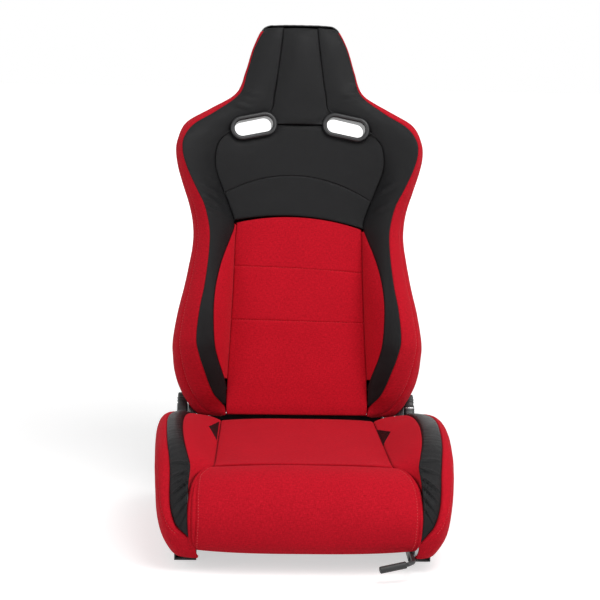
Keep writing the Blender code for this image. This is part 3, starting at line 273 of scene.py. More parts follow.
insert_edge = flat_backed(insert_edge_line, BACK_PAD_REAR)
bolster_edge = flat_backed(insert_edge_line, BACK_PAD_REAR, 0.2)


# ---- base seams ----
thigh_inner_line = smooth_line(THIGH_INNER)
thigh_outer_line = smooth_line(THIGH_OUTER)
thigh_widest_line = smooth_line(THIGH_WIDEST)
thigh_hem_line = smooth_line(THIGH_HEM)
well_edge_line = smooth_line(WELL_EDGE)
seat_edge_line = smooth_line(SEAT_EDGE)
roll_edge_line = smooth_line(ROLL_EDGE)
roll_centre_line = smooth_line(ROLL_CENTRE)
roll_back_line = smooth_line([(0, y, z) for y, z in ROLL_BACK])


def towards_hub(point, length):
    if point.y > FOLD_HUB[0]:
        return Vector((0, 0, -length))
    return Vector((0, FOLD_HUB[0] - point.y, FOLD_HUB[1] - point.z)).normalized() * length


def strip_lean(t):
    return min(1.0, (thigh_outer_line(t) - thigh_inner_line(t)).length / 30.0)


def thigh_inner(t, side=1):
    point = thigh_inner_line(t)
    return across(point, side), across(towards_hub(point, PAD_DEPTH) + Vector((2.0 * strip_lean(t), 0, 0)), side)


def tip_shift(t, side):
    """The flanks' lower tips run in under the roll, further on the side without the handle."""
    return Vector((-17.0, 2.0, -4.0) if side < 0 else (-7.0, 1.0, -2.0)) * ease((t - 10.0) / 2.0)


def thigh_outer(t, side=1):
    point = thigh_outer_line(t) + tip_shift(t, side)
    if side < 0:
        point = point + Vector((-7.0, 0, 1.2)) * (1 - ease((t - 5.5) / 4.0))
    depth = towards_hub(point, PAD_DEPTH * 0.8) + Vector((-5.0 * strip_lean(t), 0, 0))
    return across(point, side), across(depth, side)


def thigh_hem(t, side=1):
    depth = Vector((-7.5 + 5.0 * held((t - 8) / 3), 4.0 * held(t - 7), 5.0))
    return across(thigh_hem_line(t) + tip_shift(t, side), side), across(depth, side)


well_edge = flat_backed(well_edge_line, PAD_FLOOR_Z)
seat_edge = flat_backed(seat_edge_line, PAD_FLOOR_Z)


def roll_edge(t, side=1):
    point, back = roll_edge_line(t), roll_back_line(t)
    return across(point, side), Vector((0, back.y - point.y, back.z - point.z))


def on_side(edge, side, warp=None):
    def at(t):
        return edge(warp(t, side) if warp else t, side)

    return at


# ---- surface relief ----
def field(points, scale, seed=0.0):
    """Smooth noise from -1 to 1 at each point of a grid of table points."""
    flat = points.reshape(-1, 3) / scale + seed
    return np.array([noise.noise(p) for p in flat]).reshape(points.shape[:-1])


def fall(distance, radius):
    """How far a rounded edge has turned down, 1 at the seam and 0 past its radius."""
    near = np.clip(1.0 - distance / radius, 0.0, 1.0)
    return 1.0 - np.sqrt(1.0 - near * near)


def ridge(points, start, end, width, height):
    """A soft fold along a line drawn on the back table, fading at both ends."""
    p = points[..., :2]
    along = (end - start) / np.linalg.norm(end - start)
    run = (p - start) @ along / np.linalg.norm(end - start)
    off = (p - start) @ np.array((-along[1], along[0]))
    taper = np.clip(np.minimum(run, 1 - run) * 3.0 + 0.4, 0, 1)
    return height * taper * np.exp(-(off / width) ** 2)


def folds(pad, drawn):
    """Drag folds drawn on the face: each a soft ridge with a sharper hollow beside it."""
    height = 0.0
    for start, end, width, rise in drawn:
        p, q = np.array(start, float), np.array(end, float)
        beside = np.array((q[1] - p[1], p[0] - q[0])) / np.linalg.norm(q - p) * width * 1.35
        hollow = ridge(pad.points, p + beside, q + beside, width * 0.6, rise * 0.6)
        height = height + ridge(pad.points, p, q, width, rise) - hollow
        # painted shade in each fold's hollow
        pad.shade = np.maximum(pad.shade, np.clip(hollow / rise * 0.9, 0, 0.6))
    return height


def foam_relief(pad, hollows, height, reach, pitch, sway, scale, seed):
    """Foam under a cover: hollows, each (height, scale, seed), and puckers beside the seams with their sway."""
    broad = sum(size * field(pad.points, wide, start) for size, wide, start in hollows)
    phase = sway * field(pad.points, scale, seed)
    return broad + height * np.exp(-pad.side / reach) * np.sin(pad.run[:, None] * math.tau / pitch + phase)


def cloth_relief(pad):
    """Knitted cloth: broad hollows, and slight puckers beside the seams."""
    return foam_relief(pad, ((0.8, 75.0, 3.1), (0.3, 24.0, 9.7)), 0.34, 6.5, 10.5, 3.5, 45.0, 5.3)


def vinyl_relief(pad):
    """Leatherette: smoother, with longer drag lines away from the seams."""
    return foam_relief(pad, ((0.6, 85.0, 1.7), (0.22, 26.0, 4.9)), 0.42, 9.0, 15.0, 4.0, 38.0, 8.1)


def topstitched(seam, stretch, narrow, wide, width, fade):
    """Relief of cloth with a line sewn along it, at a share of its width, in a trough of two parts."""
    def relief(pad):
        off = (pad.share - seam) * pad.width * stretch
        trough = -narrow * np.exp(-(off / 1.6) ** 2) - wide * np.exp(-(off / 5.0) ** 2)
        return cloth_relief(pad) + trough * ease_array(pad.width / width - fade)

    return relief


# ---- sewn pads ----
class Pad:
    """A grid of face points between two seams, with each point's distance to its seams."""

    def __init__(self, low, high, rows, run, count, roll, fine):
        self.rows, self.run = rows, run
        self.ends = [(low(t), high(t)) for t in rows]
        self.steps = np.array([near_edges((b[0] - a[0]).length, roll, count, fine) for a, b in self.ends])
        width = np.array([(b[0] - a[0]).length for a, b in self.ends])[:, None]
        self.share = self.steps / width
        self.side = np.minimum(self.steps, width - self.steps)
        self.across = self.steps - width / 2
        self.width = width
        self.points = None
        self.shade = 0.0      # painted shade in creases inside the pad, like the painted shade beside its seams


ROLL_STEPS = (0.03, 0.1, 0.2, 0.33, 0.5, 0.72, 1.0)


def near_edges(width, roll, count, fine=None):
    """Distances across a pad: close together where it rolls into its seams or is stitched, even between."""
    gap = min(SEAM_GAP / 2, width * 0.1)
    reach = min(roll, width * 0.3)
    left = [gap] + [gap + reach * k for k in ROLL_STEPS]
    inner = [left[-1] + (width - 2 * left[-1]) * k / count for k in range(1, count)]
    extra = [min(max(x, left[-1]), width - left[-1]) for x in (fine(width) if fine else ())]
    return left + sorted(inner + extra) + [width - x for x in reversed(left)]


def rows_along(low, high, first, last, step, creases=(), roll=SEAM_ROLL, ends=(True, True)):
    """Stations for a pad's rows, about step apart and close together at its ends and creases."""
    stations = np.linspace(first, last, 600)
    middle = np.array([(low(t)[0] + high(t)[0]) / 2 for t in stations])
    run = np.concatenate([[0.0], np.cumsum(np.linalg.norm(np.diff(middle, axis=0), axis=1))])
    total = run[-1]
    fine = {0.0, total}
    for at_end, origin, way in ((ends[0], 0.0, 1), (ends[1], total, -1)):
        if at_end:
            fine.update(origin + way * roll * k for k in ROLL_STEPS)
    for crease in creases:
        centre = float(np.interp(crease, stations, run))
        fine.update([centre] + [centre + way * CHANNEL_ROLL * k for k in ROLL_STEPS for way in (-1, 1)])
    even = [total * k / round(total / step) for k in range(round(total / step) + 1)]
    fine = sorted(fine)
    picked = sorted(fine + [x for x in even if min(abs(x - y) for y in fine) > step * 0.45])
    return [float(np.interp(x, run, stations)) for x in picked], np.array(picked)


def crown_full(share, power):
    q = np.abs(2 * share - 1)
    q[:, 0] = q[:, -1] = 1.0
    return 1 - q ** np.where(share > 0.5, power[1], power[0]), 1 - q * q


def table_of(vector_of, rows):
    if vector_of is None:
        return np.zeros((len(rows), 1, 3))
    return np.array([vector_of(t) for t in rows])[:, None, :]


def sew_pad(name, low, high, first, last, count, table, finish, crown=None, inner_crown=None, power=(2.0, 2.0),
            bow=None, creases=(), ends=(True, True), roll=SEAM_ROLL, depth=SEAM_DEPTH, step=5.0, relief=None,
            end_depth=None, stitches=(), stitched_rows=None, cross_stitches=(), fine=None):
    """A closed pad between two seam lines, dipped into its seams, ends and sewn channels."""
    rows, run = rows_along(low, high, first, last, step, creases, roll, ends)
    pad = Pad(low, high, rows, run, count, roll, fine)
    a, b, a_in, b_in = (np.array([ends_here[edge][kind] for ends_here in pad.ends])[:, None, :]
                        for kind in (0, 1) for edge in (0, 1))
    s = pad.share[..., None]
    full, soft = crown_full(pad.share, power)
    inward = a_in + (b_in - a_in) * s
    base = a + (b - a) * s + table_of(bow, rows) * soft[..., None]
    outer = base + table_of(crown, rows) * full[..., None]
    inner = base + table_of(inner_crown, rows) * full[..., None] + inward
    unit = inward / np.linalg.norm(inward, axis=-1, keepdims=True)
    from_ends = np.full(len(rows), 1e6)
    if ends[0]:
        from_ends = np.minimum(from_ends, run)
    if ends[1]:
        from_ends = np.minimum(from_ends, run[-1] - run)
    side_roll = np.minimum(roll, pad.width * 0.5)
    near = np.clip(1 - pad.side / side_roll, 0, 1)
    near[:, 0] = near[:, -1] = 1.0
    near_end = np.clip(1 - from_ends / roll, 0, 1)[:, None]
    edge = np.clip(np.sqrt(near ** 2 + near_end ** 2), 0, 1)
    dip = depth * (1 - np.sqrt(1 - edge ** 2))
    if end_depth:
        dip = np.maximum(dip, end_depth[0] * fall(run, end_depth[1])[:, None])
        dip = np.maximum(dip, end_depth[2] * fall(run[-1] - run, end_depth[3])[:, None])
    from_lines = from_ends.copy()
    for crease in creases:
        off = np.abs(run - float(np.interp(crease, rows, run)))
        from_lines = np.minimum(from_lines, off)
        dip = np.maximum(dip, CHANNEL_DEPTH * fall(off, CHANNEL_ROLL)[:, None])
    outer = outer + unit * dip[..., None]
    pad.points = outer
    normal = np.cross(np.gradient(outer, axis=0), np.gradient(outer, axis=1))
    normal /= np.maximum(np.linalg.norm(normal, axis=-1, keepdims=True), 1e-9)
    normal *= np.where((normal * -unit).sum(-1, keepdims=True) > 0, 1.0, -1.0)
    if relief:
        free = np.clip(np.minimum(pad.side, from_lines[:, None]) / 3.5 - 0.15, 0, 1)
        free[:, 0] = free[:, -1] = 0.0
        outer = outer + normal * (relief(pad) * ease_array(free))[..., None]
    mark_stitches(pad, outer, normal, table, finish, stitches, stitched_rows, cross_stitches)
    # painted shade: darker within SEAM_SHADE of the seams and ends, and in the creases noted in pad.shade
    seam = np.maximum(np.clip(1 - np.minimum(pad.side, from_ends[:, None]) / SEAM_SHADE, 0, 1), pad.shade)
    return closed_pad(name, placed(outer, table), placed(inner, table), pad.across, pad.run, seam, finish)


STITCH_RUNS = {}


def keep_run(points, normal, table, finish):
    """Remember a line of stitches: its points and the way out of the cloth, both in metres."""
    turn = np.array(table)[:3, :3]
    turn = turn / np.linalg.norm(turn, axis=0)
    body = "backrest" if table is BACK_TABLE else "seat_base"
    lines = STITCH_RUNS.setdefault((body, finish.name), [])
    lines.append((placed(points + normal * 0.15, table), normal @ turn.T))


def mark_stitches(pad, outer, normal, table, finish, stitches, stitched_rows, cross_stitches):
    """Note where this pad is topstitched: along its run, or across it in a channel."""
    rows = np.array(pad.rows)
    first, last = stitched_rows or (rows[0], rows[-1])
    picked = np.nonzero((rows >= first) & (rows <= last))[0]
    for kind, value in stitches:
        points, outward = [], []
        for i in picked:
            width = pad.width[i, 0]
            value_here = value(rows[i]) if callable(value) else value
            at = {"share": value_here * width, "low": value_here, "high": width - value_here}[kind]
            across_pad = pad.steps[i]
            points.append([np.interp(at, across_pad, outer[i, :, k]) for k in range(3)])
            outward.append([np.interp(at, across_pad, normal[i, :, k]) for k in range(3)])
        keep_run(np.array(points), np.array(outward), table, finish)
    for row in cross_stitches:
        i = int(np.argmin(np.abs(rows - row)))
        keep_run(outer[i, 2:-2], normal[i, 2:-2], table, finish)


def closed_pad(name, outer, inner, wide, run, seam, finish):
    """Join the face and the hidden side into one closed mesh; wide and run are its cloth coordinates, and seam is the
    painted shade beside its seams and in its creases.
    """
    rows, cols = outer.shape[:2]
    index = np.arange(rows * cols).reshape(rows, cols)
    hidden = index + rows * cols
    a, b, c, d = index[:-1, :-1], index[:-1, 1:], index[1:, 1:], index[1:, :-1]
    e, f, g, h = hidden[:-1, :-1], hidden[:-1, 1:], hidden[1:, 1:], hidden[1:, :-1]
    faces = [np.stack([a, b, c, d], -1).reshape(-1, 4), np.stack([e, h, g, f], -1).reshape(-1, 4)]
    for j in (0, -1):
        faces.append(np.stack([index[:-1, j], index[1:, j], hidden[1:, j], hidden[:-1, j]], -1))
    for i in (0, -1):
        faces.append(np.stack([index[i, :-1], index[i, 1:], hidden[i, 1:], hidden[i, :-1]], -1))
    mesh = bpy.data.meshes.new(name)
    points = np.concatenate([outer.reshape(-1, 3), inner.reshape(-1, 3)])
    mesh.from_pydata(points.tolist(), [], np.concatenate(faces).tolist())
    outwards(mesh)
    flat = np.stack([wide, np.repeat(run[:, None], cols, 1)], -1).reshape(-1, 2) * MM
    cloth = np.concatenate([flat, flat])
    corner = np.empty(len(mesh.loops), dtype=np.int32)
    mesh.loops.foreach_get("vertex_index", corner)
    layer = mesh.uv_layers.new(name="cloth")
    layer.data.foreach_set("uv", cloth[corner].astype(np.float32).ravel())
    # the seam attribute carries the painted shade beside the seams and in creases
    near = mesh.attributes.new("seam", "FLOAT", "POINT")
    near.data.foreach_set("value", np.concatenate([seam.ravel(), seam.ravel()]).astype(np.float32))
    return finished("sewn_" + name, mesh, finish, 50.0)


def outwards(mesh, *more):
    """Turn the faces of a mesh of closed shells outwards, after adding any more of them."""
    bm = bmesh.new()
    for part in (mesh,) + more:
        bm.from_mesh(part)
    bmesh.ops.recalc_face_normals(bm, faces=bm.faces)
    bm.to_mesh(mesh)
    bm.free()


def linked(name, data):
    """A new object in the scene."""
    obj = bpy.data.objects.new(name, data)
    bpy.context.scene.collection.objects.link(obj)
    return obj


def finished(name, mesh, finish, smooth):
    """Put a mesh in the scene with its finish and smooth shading."""
    obj = linked(name, mesh)
    mesh.materials.clear()
    mesh.materials.append(finish)
    mesh.shade_smooth()
    mesh.set_sharp_from_angle(angle=math.radians(smooth))
    return obj


def settle(obj):
    """Apply an object's modifiers and place, so that it is a plain mesh at the origin."""
    bpy.context.view_layer.update()
    graph = bpy.context.evaluated_depsgraph_get()
    mesh = bpy.data.meshes.new_from_object(obj.evaluated_get(graph), depsgraph=graph)
    mesh.transform(obj.matrix_world)
    obj.modifiers.clear()
    obj.parent = None
    obj.matrix_world = Matrix.Identity(4)
    obj.data = mesh
    return obj


def dress(obj, body, slot, *nodes):
    """Let a piece ride on a body and stand for CAD nodes."""
    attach(obj, body)
    if nodes:
        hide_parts(*nodes)
    return obj


def upholster(obj, body, slot, fill, *nodes):
    dress(obj, body, slot, *nodes)
    return obj


# ---- stitches ----
def stitch_tree():
    """Geometry nodes: one thread stitch at each pitch along a line, lying on the cloth."""
    tree = bpy.data.node_groups.new("stitch_line", "GeometryNodeTree")
    face = tree.interface
    face.new_socket("Line", in_out="INPUT", socket_type="NodeSocketGeometry")
    for label in ("Pitch", "Length", "Thickness"):
        face.new_socket(label, in_out="INPUT", socket_type="NodeSocketFloat")
    face.new_socket("Thread", in_out="INPUT", socket_type="NodeSocketMaterial")
    face.new_socket("Stitches", in_out="OUTPUT", socket_type="NodeSocketGeometry")
    new = tree.nodes.new
    lines, result = new("NodeGroupInput"), new("NodeGroupOutput")
    curve, spaced = new("GeometryNodeMeshToCurve"), new("GeometryNodeResampleCurve")
    thread, shape, size = new("GeometryNodeMeshUVSphere"), new("GeometryNodeTransform"), new("ShaderNodeCombineXYZ")
    tangent, along = new("GeometryNodeInputTangent"), new("FunctionNodeAlignRotationToVector")
    outward, facing = new("GeometryNodeInputNamedAttribute"), new("FunctionNodeAlignRotationToVector")
    threads, real = new("GeometryNodeInstanceOnPoints"), new("GeometryNodeRealizeInstances")
    finish = new("GeometryNodeSetMaterial")
    spaced.mode = "LENGTH"
    along.axis = "Z"
    facing.axis, facing.pivot_axis = "Y", "Z"
    outward.data_type = "FLOAT_VECTOR"
    outward.inputs["Name"].default_value = "outward"
    for label, value in (("Segments", 6), ("Rings", 4), ("Radius", 0.5)):
        thread.inputs[label].default_value = value
    for source, leaves, target, enters in (
            (lines, "Line", curve, "Mesh"), (curve, "Curve", spaced, "Curve"), (lines, "Pitch", spaced, "Length"),
            (lines, "Thickness", size, "X"), (lines, "Thickness", size, "Y"), (lines, "Length", size, "Z"),
            (thread, "Mesh", shape, "Geometry"), (size, "Vector", shape, "Scale"),
            (tangent, "Tangent", along, "Vector"), (along, "Rotation", facing, "Rotation"),
            (outward, "Attribute", facing, "Vector"), (spaced, "Curve", threads, "Points"),
            (shape, "Geometry", threads, "Instance"), (facing, "Rotation", threads, "Rotation"),
            (threads, "Instances", real, "Geometry"), (real, "Geometry", finish, "Geometry"),
            (lines, "Thread", finish, "Material"), (finish, "Geometry", result, "Stitches")):
        tree.links.new(source.outputs[leaves], target.inputs[enters])
    return tree


def sew_stitches():
    """One mesh of thread for each body and colour, along every line that the pads have noted."""
    tree = stitch_tree()
    for (body, cloth), lines in sorted(STITCH_RUNS.items()):
        thread, word = (RED_THREAD, "red") if cloth == RED_CLOTH.name else (BLACK_THREAD, "black")
        points, edges, outward = [], [], []
        for line, normal in lines:
            start = len(points)
            points += line.tolist()
            outward += normal.tolist()
            edges += [(start + k, start + k + 1) for k in range(len(line) - 1)]
        mesh = bpy.data.meshes.new("stitch_line")
        mesh.from_pydata(points, edges, [])
        layer = mesh.attributes.new("outward", "FLOAT_VECTOR", "POINT")
        layer.data.foreach_set("vector", np.array(outward, dtype=np.float32).ravel())
        obj = linked("thread_%s_%s" % (word, body), mesh)
        run = obj.modifiers.new("stitches", "NODES")
        values = {"Pitch": STITCH_PITCH * MM, "Length": STITCH_LENGTH * MM, "Thickness": THREAD * MM,
                  "Thread": thread}
        run.node_group = tree
        for item in tree.interface.items_tree:
            if item.in_out == "INPUT" and item.name in values:
                run[item.identifier] = values[item.name]
        settle(obj)
        obj.data.materials.clear()
        obj.data.materials.append(thread)
        obj.data.shade_smooth()
        dress(obj, body, "red_cloth" if word == "red" else "black_vinyl")


# ---- shader groups ----
def group_tree(name, inputs, outputs):
    """A new shader group with named float or vector inputs and float or colour outputs."""
    tree = bpy.data.node_groups.new(name, "ShaderNodeTree")
    for label, kind, value in inputs:
        socket = tree.interface.new_socket(label, in_out="INPUT", socket_type=kind)
        if value is not None:
            socket.default_value = value
    for label, kind in outputs:
        tree.interface.new_socket(label, in_out="OUTPUT", socket_type=kind)
    return tree, tree.nodes.new("NodeGroupInput"), tree.nodes.new("NodeGroupOutput")


class Wiring:
    """Short calls that add nodes to a tree and link them."""

    def __init__(self, tree):
        self.tree = tree

    def set(self, node, values):
        """Links or values for a node's inputs, by name or in their order."""
        for key, value in values.items() if isinstance(values, dict) else enumerate(values):
            if isinstance(value, bpy.types.NodeSocket):
                self.tree.links.new(value, node.inputs[key])
            elif value is not None:
                node.inputs[key].default_value = value

    def add(self, kind, values, **settings):
        node = self.tree.nodes.new("ShaderNode" + kind)
        for setting, value in settings.items():
            setattr(node, setting, value)
        self.set(node, values)
        return node.outputs

    def math(self, operation, *values, clamp=False):
        return self.add("Math", values, operation=operation, use_clamp=clamp)[0]

    def vector(self, operation, a, b=None, scale=None):
        made = self.add("VectorMath", {0: a, 1: b, "Scale": scale}, operation=operation)
        return made["Value" if operation == "LENGTH" else "Vector"]

    def noise(self, vector, scale, detail=2.0, roughness=0.5):
        values = {"Vector": vector, "Scale": scale, "Detail": detail, "Roughness": roughness}
        return self.add("TexNoise", values)["Fac"]

    def cells(self, vector, scale, feature):
        return self.add("TexVoronoi", {"Vector": vector, "Scale": scale}, feature=feature)["Distance"]

    def ramp(self, value, low, high, out_low=0.0, out_high=1.0):
        values = (value, low, high, out_low, out_high)
        return self.add("MapRange", values, interpolation_type="SMOOTHSTEP")["Result"]

    def mix(self, factor, a, b):
        return self.add("Mix", {"Factor": factor, "A": a, "B": b}, data_type="RGBA")["Result"]

    def combine(self, x, y, z=0.0):
        return self.add("CombineXYZ", (x, y, z))[0]

    def separate(self, vector):
        return self.add("SeparateXYZ", (vector,))

    def stretch(self, vector, *factors):
        """The vector's parts, each times its own factor."""
        return self.combine(*[self.math("MULTIPLY", part, k) for part, k in zip(self.separate(vector), factors)])

    def uses(self, tree, **values):
        return self.add("Group", values, node_tree=tree)

    def bump(self, height, strength, distance):
        return self.add("Bump", {"Strength": strength, "Distance": distance, "Height": height})["Normal"]


def woven_group():
    """Over-and-under yarns of a woven cloth, with slubs; Pitch is the yarn spacing in metres."""
    tree, source, result = group_tree(
        "woven_yarns", [("Cloth", "NodeSocketVector", None), ("Pitch", "NodeSocketFloat", 0.001),
                        ("Slub", "NodeSocketFloat", 0.5)],
        [("Height", "NodeSocketFloat"), ("Tone", "NodeSocketFloat")])
    w = Wiring(tree)
    cloth, pitch, slub = source.outputs["Cloth"], source.outputs["Pitch"], source.outputs["Slub"]
    wander = w.noise(cloth, 190.0, 2.0)
    x, y, _ = w.separate(cloth)
    u = w.math("DIVIDE", w.math("MULTIPLY_ADD", wander, 0.0009, x), pitch)
    v = w.math("DIVIDE", w.math("MULTIPLY_ADD", wander, -0.0007, y), pitch)
    over = w.math("ABSOLUTE", w.math("MODULO", w.math("ADD", w.math("FLOOR", u), w.math("FLOOR", v)), 2.0))
    warp = w.math("SINE", w.math("MULTIPLY", w.math("FRACT", u), math.pi))
    weft = w.math("SINE", w.math("MULTIPLY", w.math("FRACT", v), math.pi))
    warp_top = w.math("MULTIPLY", warp, w.math("MULTIPLY_ADD", weft, 0.5, 0.5))
    weft_top = w.math("MULTIPLY", weft, w.math("MULTIPLY_ADD", warp, 0.5, 0.5))
    crossing = w.math("ADD", w.math("MULTIPLY", warp_top, over),
                      w.math("MULTIPLY", weft_top, w.math("SUBTRACT", 1.0, over)))
    fuzz = w.noise(cloth, 2600.0, 2.0, 0.7)
    height = w.math("ADD", crossing, w.math("MULTIPLY", fuzz, 0.35))
    streak, thick = (w.noise(w.stretch(cloth, *parts), 1.0, 3.0, 0.65) for parts in ((620.0, 190.0), (170.0, 560.0)))
    melange = w.math("SUBTRACT", w.math("ADD", streak, thick), 1.0)
    tone = w.math("MULTIPLY_ADD", melange, slub, w.math("MULTIPLY_ADD", crossing, 0.25, 0.4))
    w.set(result, {"Height": height, "Tone": tone})
    return tree


def grain_group():
    """Pebbled leatherette: raised cells with creases between, and fine pores; Size is a cell in metres."""
    tree, source, result = group_tree(
        "pebbled_grain", [("Place", "NodeSocketVector", None), ("Size", "NodeSocketFloat", 0.0012)],
        [("Height", "NodeSocketFloat"), ("Worn", "NodeSocketFloat")])
    w = Wiring(tree)
    place, size = source.outputs["Place"], source.outputs["Size"]
    bend = w.vector("SCALE", place, scale=w.math("DIVIDE", 1.0, size))
    sway = w.noise(place, 420.0, 1.0)
    bend = w.vector("ADD", bend, w.combine(sway, sway, sway))
    edge = w.cells(bend, 1.0, "DISTANCE_TO_EDGE")
    pebble = w.ramp(edge, 0.0, 0.16)
    pores = w.noise(bend, 3.4, 3.0, 0.6)
    height = w.math("MULTIPLY_ADD", pores, 0.3, pebble)
    worn = w.ramp(w.noise(place, 26.0, 4.0, 0.6), 0.38, 0.68)
    w.set(result, {"Height": height, "Worn": worn})
    return tree


def wear_group():
    """Handling marks on hard parts: dust, fine scratches, and smudges, at one scale for all."""
    tree, source, result = group_tree(
        "handling_marks", [("Place", "NodeSocketVector", None), ("Amount", "NodeSocketFloat", 0.5)],
        [("Dust", "NodeSocketFloat"), ("Scratch", "NodeSocketFloat"), ("Grit", "NodeSocketFloat")])
    w = Wiring(tree)
    place, amount = source.outputs["Place"], source.outputs["Amount"]
    cloud = w.ramp(w.noise(place, 32.0, 5.0, 0.62), 0.45, 0.75)
    dust = w.math("MULTIPLY", cloud, amount)
    line = w.ramp(w.noise(w.stretch(place, 1500.0, 60.0, 1500.0), 1.0), 0.62, 0.72)
    w.set(result, {"Dust": dust, "Scratch": w.math("MULTIPLY", line, amount),
                   "Grit": w.noise(place, 1900.0, 2.0, 0.6)})
    return tree


def new_finish(name):
    made = bpy.data.materials.new(name)
    made.use_nodes = True
    tree = made.node_tree
    return made, Wiring(tree), tree.nodes["Principled BSDF"], tree.nodes.new("ShaderNodeTexCoord")


# Painted shade beside seams and in creases, read from the seam attribute
def seam_shade(w):
    return w.add("Attribute", (), attribute_name="seam")["Fac"]


def red_cloth():
    light, dark = (0.68, 0.008, 0.024, 1), (0.31, 0.0016, 0.0075, 1)
    made, w, shader, where = new_finish("red_cloth_weave")
    yarn = w.uses(WOVEN, Cloth=where.outputs["UV"], Pitch=0.00115, Slub=1.15)
    drift = w.noise(where.outputs["Object"], 14.0, 3.0, 0.55)
    tone = w.math("MULTIPLY_ADD", w.math("SUBTRACT", drift, 0.5), 0.22, yarn["Tone"], clamp=True)
    colour = w.mix(tone, dark, light)
    # painted shade beside seams and in creases: the colour is drawn towards a deep red
    shade = w.math("MULTIPLY", w.math("POWER", seam_shade(w), 2.0), 0.35)
    w.set(shader, {"Base Color": w.mix(shade, colour, (0.24, 0.003, 0.008, 1)),
                   "Roughness": w.math("MULTIPLY_ADD", yarn["Height"], -0.12, 0.95),
                   "Normal": w.bump(yarn["Height"], 0.55, 0.00035), "Specular IOR Level": 0.12,
                   "Sheen Weight": 0.12, "Sheen Roughness": 0.4, "Sheen Tint": (1.0, 0.22, 0.26, 1.0)})
    return made


def black_vinyl():
    made, w, shader, where = new_finish("black_leatherette")
    grain = w.uses(GRAIN, Place=where.outputs["Object"], Size=0.00125)
    drift = w.noise(where.outputs["Object"], 9.0, 3.0, 0.5)
    lift = w.math("MULTIPLY", w.math("ADD", grain["Worn"], drift), 0.35, clamp=True)
    colour = w.mix(lift, (0.0035, 0.0035, 0.004, 1), (0.0075, 0.0075, 0.0083, 1))
    rough = w.math("MULTIPLY_ADD", grain["Worn"], 0.1, 0.41)
    # painted shade beside seams and in creases: the colour is drawn towards near-black
    w.set(shader, {"Base Color": w.mix(w.math("MULTIPLY", seam_shade(w), 0.5), colour, (0.003, 0.003, 0.0034, 1)),
                   "Roughness": w.math("MULTIPLY_ADD", grain["Height"], -0.07, rough),
                   "Normal": w.bump(grain["Height"], 0.6, 0.0003), "Specular IOR Level": 0.17})
    return made


def hard_finish(name, base, dusty, roughness, metallic, amount, grit):
    """Paint, plastic, plated steel or rubber: base colour, dust in the marks, and a fine surface grit."""
    made, w, shader, where = new_finish(name)
    marks = w.uses(WEAR, Place=where.outputs["Object"], Amount=amount)
    rough = w.math("MULTIPLY_ADD", marks["Dust"], 0.22, roughness)
    height = w.math("MULTIPLY_ADD", marks["Scratch"], -0.6, marks["Grit"])
    w.set(shader, {"Base Color": w.mix(marks["Dust"], base, dusty), "Metallic": metallic,
                   "Roughness": w.math("MULTIPLY_ADD", marks["Scratch"], -0.12, rough, clamp=True),
                   "Normal": w.bump(height, grit, 0.00012)})
    return made


def webbing_finish():
    made, w, shader, where = new_finish("strap_webbing")
    yarn = w.uses(WOVEN, Cloth=where.outputs["Object"], Pitch=0.0022, Slub=0.6)
    w.set(shader, {"Base Color": w.mix(yarn["Tone"], (0.02, 0.02, 0.022, 1), (0.13, 0.13, 0.14, 1)),
                   "Normal": w.bump(yarn["Height"], 0.8, 0.0007), "Roughness": 0.85})
    return made


def thread_finish(name, colour, shadow):
    made, w, shader, where = new_finish(name)
    twist = w.noise(where.outputs["Object"], 2400.0, 1.0)
    w.set(shader, {"Base Color": w.mix(twist, shadow, colour), "Roughness": 0.6})
    return made


WOVEN, GRAIN, WEAR = woven_group(), grain_group(), wear_group()
RED_CLOTH = red_cloth()
BLACK_VINYL = black_vinyl()
BLACK_PLASTIC = hard_finish("moulded_black_plastic", (0.012, 0.012, 0.013, 1), (0.03, 0.03, 0.032, 1), 0.36, 0.0,
                            0.4, 0.3)
BLACK_STEEL = hard_finish("black_powder_coat", (0.016, 0.016, 0.017, 1), (0.05, 0.049, 0.047, 1), 0.38, 0.0, 0.5, 0.5)
ZINC = hard_finish("zinc_plated_steel", (0.52, 0.52, 0.53, 1), (0.36, 0.355, 0.345, 1), 0.3, 1.0, 0.7, 0.15)
WEBBING = webbing_finish()
RUBBER = hard_finish("grip_rubber", (0.011, 0.011, 0.0115, 1), (0.045, 0.045, 0.046, 1), 0.5, 0.0, 0.35, 0.25)
RED_THREAD = thread_finish("red_thread", (0.85, 0.09, 0.09, 1), (0.45, 0.02, 0.025, 1))
BLACK_THREAD = thread_finish("black_thread", (0.05, 0.05, 0.052, 1), (0.012, 0.012, 0.013, 1))


# ---- backrest pads ----
def flank_bulge(t):
    front, rear, widest = flank_front_line(t), rear_edge_line(t), outline_line(t)
    return Vector((widest.x, widest.y, (front.z + rear.z) / 2)) - (front + rear) / 2


def flank_inner_bulge(t):
    (front, front_in), (rear, rear_in), widest = flank_front(t, 0.5), rear_edge(t), outline_line(t)
    front, front_in = flank_front_line(t), Vector((front_in.x * 2, front_in.y, front_in.z))
    wall = turned_in(outline_line, t) * 15.0
    middle = (front + front_in + rear + rear_in) / 2
    return Vector((widest.x + wall.x, widest.y + wall.y, middle.z)) - middle


def sided(vector_of, side):
    def at(t):
        return across(vector_of(t), side)

    return at


def shifted_bulge(side):
    """The flank's bulge, less half of what its front seam has been shifted."""

    def at(t):
        shift = flank_shift(t, side)
        return across(flank_bulge(t) - Vector((shift.x, shift.y, 0)) / 2, side)

    return at


def about_seam(share):
    """Extra columns beside a topstitched line at a share of the pad's width."""
    def places(width):
        scale = min(1.0, width / 60.0)
        return [share * width + scale * d for d in (-6.0, -4.0, -2.6, -1.6, -0.8, 0.0, 0.8, 1.6, 2.6, 4.0, 6.0)]

    return places


FLANK_SEAM = 0.27         # how far round the flank its topstitched seam runs, as a share of the way back
FLANK_STITCHED = (2.2, 20.5)             # stations
flank_relief = topstitched(FLANK_SEAM, 1.15, 1.5, 0.8, 45.0, 0.6)


